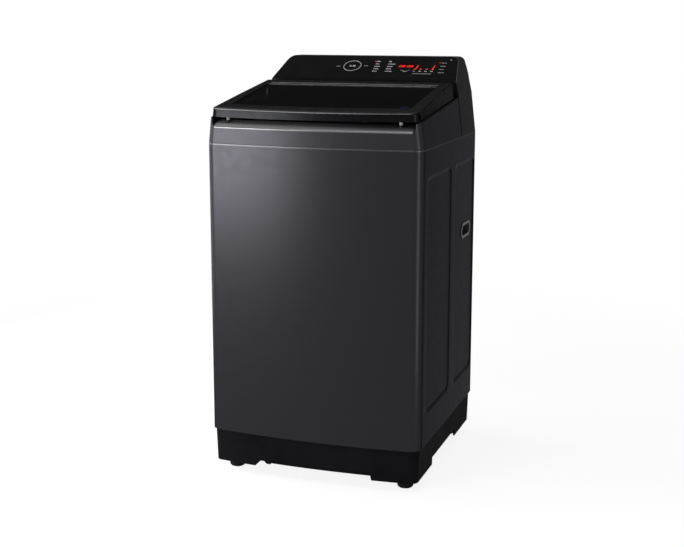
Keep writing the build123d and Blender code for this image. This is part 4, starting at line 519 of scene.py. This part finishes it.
def pierced_cells(radius):
    """Rings of eight points round every hole: the edge of the hole's own patch, the edge of the pressing and
    the edge of the hole. Every second row of patches is turned by half a patch, so their corners meet."""
    patch, pitch = 2 * np.pi / pierced_columns, (pierced_high - pierced_low) / pierced_rows
    column, row = np.meshgrid(np.arange(pierced_columns), np.arange(pierced_rows))
    middle = (column + 0.5 * (row % 2)) * patch
    level = pierced_low + (row + 0.5) * pitch
    square = np.array([(1, 0), (1, 1), (0, 1), (-1, 1), (-1, 0), (-1, -1), (0, -1), (1, -1)], float)
    ring = square / np.linalg.norm(square, axis=1, keepdims=True)
    patch_edge = square * (patch / 2, pitch / 2)
    press_edge, hole_edge = (ring * (reach / radius, reach) for reach in (press_radius, hole_radius))
    offsets = np.stack([patch_edge, press_edge, hole_edge])
    depth = np.array([0.0, press_start, 1.0])[:, None] * press_depth
    angle = middle[..., None, None] + offsets[..., 0]
    height = level[..., None, None] + offsets[..., 1]
    return round_drum(angle, height, radius + np.broadcast_to(depth, angle.shape)).reshape(-1, 3, 8, 3)


inner, outer = pierced_cells(basket_radius), pierced_cells(basket_radius + sheet_thickness)
drum_grids = [(cell, False, True) for cell in np.concatenate([inner, outer[:, ::-1]], 1)]
turn = round_turn(2 * pierced_columns)
for low, high in ((basket_low, pierced_low), (pierced_high, basket_high)):
    band = [round_drum(turn, z, basket_radius) for z in (low, high)]
    band += [round_drum(turn, z, basket_radius + sheet_thickness) for z in (high, low)]
    drum_grids.append((np.stack(band), True, True))
drum = mesh_piece("pierced_drum", drum_grids, drum_steel)
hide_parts("basket")
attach(drum, "basket")
dress(wash_plastic, "basket_base", "balance_ring", "lint_filters", "pulsator", "pulsator_cap")

# Drain: a folded rubber sleeve leads from the tub's sump to the pump on the base.
# It is moulded with round folds, so that it gives as the tub bobs.
sump_reach, sump_turn = 0.192, radians(128.66)
sleeve_x, sleeve_y = sump_reach * cos(sump_turn), sump_reach * sin(sump_turn)
sleeve_low, sleeve_high, sleeve_radius, sleeve_wall = 0.1883, 0.2677, 0.0186, 0.0014
fold_depth, folds, plain_end, sleeve_rows, sleeve_points = 0.0026, 6, 0.1, 73, 40


def folded_sleeve():
    """Sleeve about an upright axis: the radius swings with the height in even folds and is plain at both
    ends. The wall goes up outside and comes back down inside."""
    share = np.linspace(0, 1, sleeve_rows)
    folded = np.clip((share - plain_end) / (1 - 2 * plain_end), 0, 1)
    outside = sleeve_radius + fold_depth * (0.5 - 0.5 * np.cos(2 * np.pi * folds * folded))
    radius = np.concatenate([outside, outside[::-1] - sleeve_wall])[:, None]
    height = sleeve_low + (sleeve_high - sleeve_low) * np.concatenate([share, share[::-1]])
    turn = round_turn(sleeve_points)
    across, back = sleeve_x + radius * np.cos(turn), sleeve_y + radius * np.sin(turn)
    return np.stack([across, back, np.broadcast_to(height[:, None], across.shape)], -1), True, True


sleeve = mesh_piece("folded_sleeve", [folded_sleeve()], foot_rubber)
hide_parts("drain_bellows")
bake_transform(sleeve)

# Water way: the inlet valve, the drain outlet and the dispenser with its drawer are moulded in white plastic.
# The drawer runs out towards the mouth of the drum.
white_plastic = moulded(
    "white_plastic", dark=(0.62, 0.63, 0.64, 1), light=(0.68, 0.69, 0.70, 1),
    rough=(0.32, 0.42), fine=900.0, depth=0.00003,
)
dress(white_plastic, "dispenser_housing", "detergent_drawer", "water_inlet_valve", "drain_outlet")

# Top frame: one large moulding with the deck, the mouth and the console body, in a satin charcoal like the
# paint below it. The lip and the ramp of the front scoop are painted paler as a painted highlight, most at
# the left, and the riser behind the lid is matt.
# Two pads with pale tips carry the closed lid.
top_deep, top_flake, top_tint = (0.017, 0.017, 0.019, 1), (0.027, 0.0265, 0.0295, 1), (0.38, 0.38, 0.38, 1)
top_rough, top_metal, highlight_metal = (0.28, 0.32), 0.6, 0.1
top_cloud_size, top_peel_size, top_peel_depth = 30.0, 900.0, 0.00001
zone_blend = 0.002
lip_level, lip_half_height, lip_flat, lip_front, lip_rear, lip_share = 0.8652, 0.0045, 0.4, 0.004, 0.010, 0.62
ramp_front, ramp_rear, ramp_least, scoop_half = 0.006, 0.030, 0.15, 0.248
highlight_pale, highlight_left, highlight_right, highlight_least = (0.17, 0.17, 0.174, 1), -0.21, 0.17, 0.2
riser_front, riser_rear, riser_tone, riser_rough = 0.098, 0.108, (0.006, 0.006, 0.0065, 1), 0.9
pad_deep, pad_light, pad_pale = (0.008, 0.008, 0.009, 1), (0.012, 0.012, 0.013, 1), (0.20, 0.20, 0.205, 1)
pad_low, pad_high, pad_rough, pad_gloss = 0.8795, 0.8805, (0.4, 0.5), 0.05
pad_mottle_size, pad_mark_size, pad_grain_size, pad_grain_depth = 400.0, 300.0, 900.0, 0.00003


def magnitude(tree, value):
    """A value without its sign."""
    return sum_node(tree, "ABSOLUTE", value, 0.0)


def front_depth(tree, across, back):
    """Distance of a point behind the bowed front: the bow is taken as a parabola of the same curve."""
    bow = times(tree, times(tree, across, across), 0.5 / bow_radius)
    return sum_node(tree, "SUBTRACT", sum_node(tree, "SUBTRACT", back, front_y), bow)


def highlight_across(tree, across):
    """Share of a painted highlight along the front: full at the left and less to the right."""
    return ranged(tree, across, highlight_left, highlight_right, 1.0, highlight_least)


top_plastic, tree, shader, where = tree_of("top_plastic")
mix = tones(tree, grain(tree, where, flake_size, detail=1.0), top_deep, top_flake, shader)
across, back, level = axis_values(tree, where)
depth = front_depth(tree, across, back)
in_scoop = ranged(tree, magnitude(tree, across), scoop_half - 2 * zone_blend, scoop_half, 1, 0, smooth=True)
off_lip = magnitude(tree, sum_node(tree, "SUBTRACT", level, lip_level))
# Painted highlight: the lip and the ramp of the scoop get a pale tone that fades to the right, standing in
# for the light they catch.
on_lip = times(
    tree,
    ranged(tree, off_lip, lip_flat * lip_half_height, lip_half_height, lip_share, 0, smooth=True),
    ranged(tree, depth, lip_front, lip_rear, 1, 0, smooth=True),
)
on_ramp = times(
    tree,
    ranged(tree, depth, ramp_front, ramp_rear, 1, ramp_least),
    highlight_across(tree, across),
    ranged(tree, depth, ramp_rear, ramp_rear + zone_blend, 1, 0),
    ranged(tree, level, lip_level, lip_level + zone_blend, 0, 1, smooth=True),
)
highlight_share = times(tree, sum_node(tree, "MAXIMUM", on_lip, on_ramp), in_scoop)
on_riser = times(
    tree,
    ranged(tree, back, riser_front, riser_front + zone_blend, 0, 1),
    ranged(tree, back, riser_rear - zone_blend, riser_rear, 1, 0),
)
mix = laid_over(tree, mix, highlight_share, highlight_pale, shader)
laid_over(tree, mix, on_riser, riser_tone, shader)
rough = spread(tree, grain(tree, where, top_cloud_size), *top_rough)
rough = sum_node(tree, "MAXIMUM", rough, ranged(tree, on_riser, 0, 1, 0, riser_rough))
metal = ranged(tree, times(tree, on_ramp, in_scoop), 0, ramp_least, top_metal, highlight_metal)
wire(tree, (rough, shader.inputs["Roughness"]), (metal, shader.inputs["Metallic"]))
relief(tree, grain(tree, where, top_peel_size, detail=1.0), shader, top_peel_depth)
dull_lacquer(shader, top_tint)
dress(top_plastic, "top_frame")

pad_plastic, tree, shader, where = tree_of("pad_plastic")
mix = tones(tree, grain(tree, where, pad_mottle_size), pad_deep, pad_light, shader)
on_tip = ranged(tree, axis_values(tree, where)[2], pad_low, pad_high, 0, 1, smooth=True)
laid_over(tree, mix, on_tip, pad_pale, shader)
sheen(tree, grain(tree, where, pad_mark_size), pad_rough, shader)
relief(tree, grain(tree, where, pad_grain_size), shader, pad_grain_depth)
shader.inputs["Specular IOR Level"].default_value = pad_gloss
dress(pad_plastic, "lid_bumpers")

# Console: a gloss black face with keys let into it, and a red display behind a dark window.
# A circuit board stands behind the face.
option_numbers = (1, 2, 3, 4)
gloss_black = moulded(
    "gloss_black", dark=(0.0064, 0.0064, 0.0067, 1), light=(0.0080, 0.0080, 0.0084, 1),
    rough=(0.14, 0.20), fine=260.0, depth=0.000004, gloss=0.015,
)
window_red = moulded(
    "window_red", dark=(0.008, 0.003, 0.003, 1), light=(0.012, 0.004, 0.004, 1),
    rough=(0.08, 0.12), fine=260.0, depth=0.000004, gloss=0.35,
)
board_green = moulded(
    "board_green", dark=(0.01, 0.09, 0.035, 1), light=(0.02, 0.13, 0.05, 1),
    rough=(0.35, 0.5), fine=500.0, depth=0.0001,
)
dress(gloss_black, "console_fascia", "start_key", "course_key")
dress(gloss_black, *[f"option_key_{number}" for number in option_numbers])
dress(window_red, "display_lens")
dress(board_green, "control_board")

# Printing on the console: pale marks, each a film a tenth of a millimetre thick, screened on the face.
# Those on keys move with their keys. The figures and the small lamps behind the face glow red.
# Places are given across the face and up along it.
face_tilt, face_y, face_z = radians(31), 0.1055, 0.9610
film_low, film_high = -0.00005, 0.00012
letter_width, letter_pitch, letter_low, letter_high = 0.0011, 0.0015, 0.0018, 0.0025
weave_size, weave_depth, ink_rough, ink_gloss = 2200.0, 0.00001, (0.4, 0.5), 0.1
row_levels = (0.0870, 0.0750, 0.0635, 0.0523, 0.0412)
first_column_x, first_column = 0.0175, (0.0130, 0.0113, 0.0160, 0.0136, 0.0122)
second_column_x, second_column = 0.0520, (0.0080, 0.0200, 0.0156, 0.0138, 0.0183)
small_lefts, small_up, small_length = (0.1265, 0.1425, 0.1580, 0.1740), 0.0435, 0.0065
corner_caption = (0.215, 0.098, 0.005)
faint_rows = ((0.129, 0.032, 0.050), (-0.087, 0.062, 0.011), (-0.012, 0.066, 0.011))
start_x, start_up, ring_inner, ring_outer, ring_high = -0.044, 0.0655, 0.0225, 0.0240, 0.0006
ring_points, bowed_points = 72, 25
play_left, play_tip, mark_half, pause_lefts, pause_width = -0.0070, -0.0010, 0.0035, (0.0015, 0.0055), 0.0020
option_x, option_rows = 0.1945, ((0.083, 0.014), (0.068, 0.015), (0.053, 0.0125), (0.038, 0.017))
lamp_size, lamp_places = 0.0024, ((0.0130, 0.0868), (0.1890, 0.0840))
figure_up, figure_lefts = 0.0625, (0.0850, 0.0935, 0.1065, 0.1150)
figure_wide, figure_thick, figure_lean, figure_side = 0.0052, 0.0012, 0.14, 0.0033
figure_levels, figure_sides = (0, 0.0039, 0.0078), (0.0009, 0.0048)
colon_x, colon_ups, colon_size = 0.1018, (0.0648, 0.0688), 0.0013
dash_lefts, dash_up, dash_length, dash_height = (0.1275, 0.1435, 0.1590, 0.1751), 0.0525, 0.0050, 0.0030
post_lefts, post_up, post_width, post_height, post_lean = (0.1312, 0.1760), 0.0560, 0.0020, 0.0160, 0.0030


def on_face(across, up, out):
    """Point of the sloping face at a distance across it, up along it and out from it."""
    across, up, out = np.broadcast_arrays(across, up, out)
    slope, lift = cos(face_tilt), sin(face_tilt)
    return np.stack([across, face_y + up * slope - out * lift, face_z + up * lift + out * slope], -1)


def film(outline):
    """Film on the face inside an outline: its middle and the outline below, then the same two above."""
    outline = np.array(outline, float)
    middle = np.broadcast_to(outline.mean(0), outline.shape)
    rows = ((middle, film_low), (outline, film_low), (outline, film_high), (middle, film_high))
    return np.stack([on_face(line[:, 0], line[:, 1], out) for line, out in rows]), False, True


def bar(across, up, length, height, lean=0.0):
    """Film of a bar that starts at a place, its top pushed sideways by lean."""
    right, top = across + length, up + height
    return film([(across, up), (right, up), (right + lean, top), (across + lean, top)])


def mark_row(across, up, length):
    """Films of a row of upright marks, as long as a short caption, every third one a taller mark."""
    count = max(int(length / letter_pitch), 2)
    tall = [letter_high if number % 3 == 0 else letter_low for number in range(count)]
    return [bar(across + number * letter_pitch, up, letter_width, tall[number]) for number in range(count)]


def mark_rows(places):
    """Films of several rows of marks, each given by its start across and up and by its length."""
    return [mark for place in places for mark in mark_row(*place)]


def leaning_bar(across, up, aside, step, length, height):
    """Film of one bar of a figure, aside by a distance and up by a step, leaning as the figure does."""
    return bar(across + aside + figure_lean * step, up + step, length, height, figure_lean * height)


def figure(across, up):
    """Films of a figure eight of seven leaning bars."""
    level = [leaning_bar(across, up, 0, step, figure_wide, figure_thick) for step in figure_levels]
    sides = [(aside, step) for aside in (-figure_thick, figure_wide) for step in figure_sides]
    return level + [leaning_bar(across, up, *place, figure_thick, figure_side) for place in sides]


def bowed_line(across, up, half, drop, thick):
    """Film of a bowed line that ends in two points: its upper edge is a parabola, and its lower edge falls
    away from that towards the middle."""
    reach = np.linspace(-1, 1, bowed_points)
    upper = up - drop * (1 - reach**2)
    lower = upper - thick * (1 - reach**4)
    edges = ((upper, film_low), (lower, film_low), (lower, film_high), (upper, film_high))
    return np.stack([on_face(across + half * reach, edge, out) for edge, out in edges]), True, False


def ring_film(across, up, inner, outer, high):
    """Flat ring on the face: its outer edge below and above, then its inner edge above and below."""
    turn = round_turn(ring_points)
    edges = ((outer, film_low), (outer, high), (inner, high), (inner, film_low))
    rings = [on_face(across + r * np.cos(turn), up + r * np.sin(turn), out) for r, out in edges]
    return np.stack(rings), True, True


def printed(name, grids, finish, body):
    """Films of one finish as one piece that rides on a body."""
    piece = mesh_piece(name, grids, finish, smooth=False)
    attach(piece, body)


def print_ink(name, dark, light, glow=None, strength=0.0):
    """Screened ink with the faint unevenness of the mesh; lamps behind it make it glow."""
    finish, tree, shader, where = tree_of(name)
    weave = grain(tree, where, weave_size, detail=1.0)
    tones(tree, weave, dark, light, shader)
    sheen(tree, weave, ink_rough, shader)
    relief(tree, weave, shader, weave_depth)
    shader.inputs["Specular IOR Level"].default_value = ink_gloss
    if glow:
        shader.inputs["Emission Color"].default_value = glow
        shader.inputs["Emission Strength"].default_value = strength
    return finish


pale_ink = print_ink("pale_ink", dark=(0.62, 0.62, 0.63, 1), light=(0.74, 0.74, 0.75, 1))
grey_ink = print_ink("grey_ink", dark=(0.30, 0.30, 0.31, 1), light=(0.38, 0.38, 0.39, 1))
red_glow = print_ink(
    "red_glow", dark=(0.36, 0.010, 0.010, 1), light=(0.44, 0.014, 0.012, 1),
    glow=(1.0, 0.045, 0.03, 1), strength=0.9,
)
columns = ((first_column_x, first_column), (second_column_x, second_column))
captions = [(across, up, length) for across, lengths in columns for up, length in zip(row_levels, lengths)]
captions += [(across, small_up, small_length) for across in small_lefts] + [corner_caption]
printed("face_captions", mark_rows(captions), pale_ink, "cabinet")
printed("faint_captions", mark_rows(faint_rows), grey_ink, "cabinet")
start_ring = ring_film(start_x, start_up, ring_inner, ring_outer, ring_high)
printed("start_key_ring", [start_ring], grey_ink, "cabinet")
play_low, play_high = start_up - mark_half, start_up + mark_half
play_corners = ((play_left, play_low), (play_tip, start_up), (play_left, play_high))
play_mark = [film([(start_x + aside, up) for aside, up in play_corners])]
play_mark += [bar(start_x + aside, play_low, pause_width, 2 * mark_half) for aside in pause_lefts]
printed("start_key_mark", play_mark, pale_ink, "start_key")
course_line = bowed_line(across=0.105, up=0.0500, half=0.012, drop=0.006, thick=0.0011)
printed("course_key_mark", [course_line], pale_ink, "course_key")
for number, (up, length) in zip(option_numbers, option_rows):
    words = mark_row(option_x, up, length)
    printed(f"option_key_{number}_mark", words, grey_ink, f"option_key_{number}")
lamps = [bar(across, up, lamp_size, lamp_size) for across, up in lamp_places]
lamps += [part for across in figure_lefts for part in figure(across, figure_up)]
lamps += [bar(colon_x, up, colon_size, colon_size) for up in colon_ups]
lamps += [bar(across, dash_up, dash_length, dash_height) for across in dash_lefts]
lamps += [bar(across, post_up, post_width, post_height, post_lean) for across in post_lefts]
printed("red_figures", lamps, red_glow, "cabinet")

# Lid: a dark moulded frame with a sheet of tinted glass in it and a strip with two pale satin beads at its
# rear, a painted highlight.
# It turns on two steel pins in front of the console. Its top is painted lighter than its sides, and its front
# and front edge are painted paler, most at the left, as painted highlights like the lip below it.
# A round blue film lies on the glass.
lid_front_z, lid_rise, lid_set_in, lid_round, lid_highlight_depth = 0.9040, 0.1601, 0.0040, 0.0025, 0.030
lid_deep, lid_light = (0.0050, 0.0050, 0.0055, 1), (0.0068, 0.0068, 0.0073, 1)
lid_top_lit_tone, lid_front_highlight_tone = (0.015, 0.015, 0.016, 1), (0.062, 0.062, 0.064, 1)
lid_edge_highlight_tone, lid_tint = (0.24, 0.24, 0.245, 1), (0.38, 0.38, 0.38, 1)
lid_rough, lid_highlight_metal, edge_rounds = (0.24, 0.30), 0.05, 1.6
lid_cloud_size, lid_peel_size, lid_peel_depth = 30.0, 700.0, 0.00001
top_skin, top_skin_end, edge_skin, edge_skin_end = 0.0003, 0.0012, 0.0010, 0.0020
strip_half, strip_front, strip_rear, strip_bead = 0.2240, 0.0190, 0.0374, 0.0006
strip_rings, dot_points = 25, 36
dot_x, dot_y, dot_radius, dot_low, dot_high, glass_sunk = 0.2070, -0.1985, 0.0105, -0.00005, 0.0001, 0.00121
glass_deep, glass_light = (0.06, 0.06, 0.065, 1), (0.08, 0.08, 0.085, 1)
glass_rough, glass_ior = (0.03, 0.06), 1.5
glass_shade_size, glass_mark_size, glass_wave_size, glass_wave_depth = 6.0, 12.0, 9.0, 0.00002


def lid_level(back):
    """Height of the lid's sloping top at a distance back: the front's height and an even rise."""
    return lid_front_z + lid_rise * (back - front_y)


def strip_line(back):
    """Round bead across the lid on the strip's top, its ends closed in points."""
    reach = np.concatenate([[-strip_half], np.linspace(-strip_half, strip_half, strip_rings), [strip_half]])
    thick = np.full((len(reach), 1), strip_bead)
    thick[[0, -1]] = 0.0
    turn = round_turn(bead_points)
    rows = np.broadcast_to(reach[:, None], (len(reach), len(turn)))
    level = lid_level(back) - strip_bead
    return np.stack([rows, back + thick * np.cos(turn), level + thick * np.sin(turn)], -1), False, True


def glass_dot():
    """Round film on the glass: its middle and its edge below, then its edge and its middle above."""
    turn = round_turn(dot_points)
    radius = np.array([0.0, dot_radius, dot_radius, 0.0])[:, None]
    out = np.array([dot_low, dot_low, dot_high, dot_high])[:, None]
    across, back = dot_x + radius * np.cos(turn), dot_y + radius * np.sin(turn)
    return np.stack([across, back, lid_level(back) - glass_sunk + out], -1), False, True


lid_plastic, tree, shader, where = tree_of("lid_plastic")
mix = tones(tree, grain(tree, where, drift_size, detail=3.0), lid_deep, lid_light, shader)
across, back, level = axis_values(tree, where)
rise = times(tree, sum_node(tree, "SUBTRACT", back, front_y), lid_rise)
below = sum_node(tree, "SUBTRACT", sum_node(tree, "ADD", rise, lid_front_z), level)
depth = front_depth(tree, across, back)
lid_front, highlight_fade = lid_set_in + lid_round, highlight_across(tree, across)
# Painted light: the top gets a lighter tone than the sides, and the front strip and front edge get pale
# painted highlights that fade to the right.
on_top = ranged(tree, below, top_skin, top_skin_end, 1, 0, smooth=True)
front_highlight = times(
    tree, ranged(tree, depth, lid_front, lid_highlight_depth, 1, 0, smooth=True), on_top, highlight_fade
)
on_highlight = times(
    tree,
    ranged(tree, depth, lid_front, lid_set_in + edge_rounds * lid_round, 1, 0),
    ranged(tree, below, edge_skin, edge_skin_end, 1, 0, smooth=True),
    highlight_fade,
)
mix = laid_over(tree, mix, on_top, lid_top_lit_tone, shader)
mix = laid_over(tree, mix, front_highlight, lid_front_highlight_tone, shader)
laid_over(tree, mix, on_highlight, lid_edge_highlight_tone, shader)
sheen(tree, grain(tree, where, lid_cloud_size), lid_rough, shader)
relief(tree, grain(tree, where, lid_peel_size), shader, lid_peel_depth)
metal = ranged(tree, sum_node(tree, "MAXIMUM", on_top, on_highlight), 0, 1, 1.0, lid_highlight_metal)
wire(tree, (metal, shader.inputs["Metallic"]))
dull_lacquer(shader, lid_tint)
dress(lid_plastic, "lid_frame")

strip_grey = moulded(
    "strip_grey", dark=(0.005, 0.005, 0.0055, 1), light=(0.007, 0.007, 0.0075, 1),
    rough=(0.25, 0.32), fine=700.0, depth=0.00001, gloss=0.05,
)
dress(strip_grey, "lid_rear_trim")
# Painted highlight: the two beads are pale satin, standing in for light caught along the strip's edges.
painted_highlight_satin = moulded(
    "painted_highlight_satin", dark=(0.20, 0.20, 0.205, 1), light=(0.26, 0.26, 0.265, 1),
    rough=(0.3, 0.4), fine=700.0, depth=0.00001,
)
beads = mesh_piece("lid_strip_beads", [strip_line(back) for back in (strip_front, strip_rear)], painted_highlight_satin)
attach(beads, "lid")
blue_film = print_ink("blue_film", dark=(0.004, 0.010, 0.022, 1), light=(0.006, 0.014, 0.030, 1))
dot = mesh_piece("lid_round_film", [glass_dot()], blue_film, smooth=False)
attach(dot, "lid")

tinted_glass, tree, shader, where = tree_of("tinted_glass")
tones(tree, grain(tree, where, glass_shade_size), glass_deep, glass_light, shader)
sheen(tree, grain(tree, where, glass_mark_size), glass_rough, shader)
relief(tree, grain(tree, where, glass_wave_size, detail=1.0), shader, glass_wave_depth)
shader.inputs["Transmission Weight"].default_value = 1.0
shader.inputs["IOR"].default_value = glass_ior
dress(tinted_glass, "lid_glass")
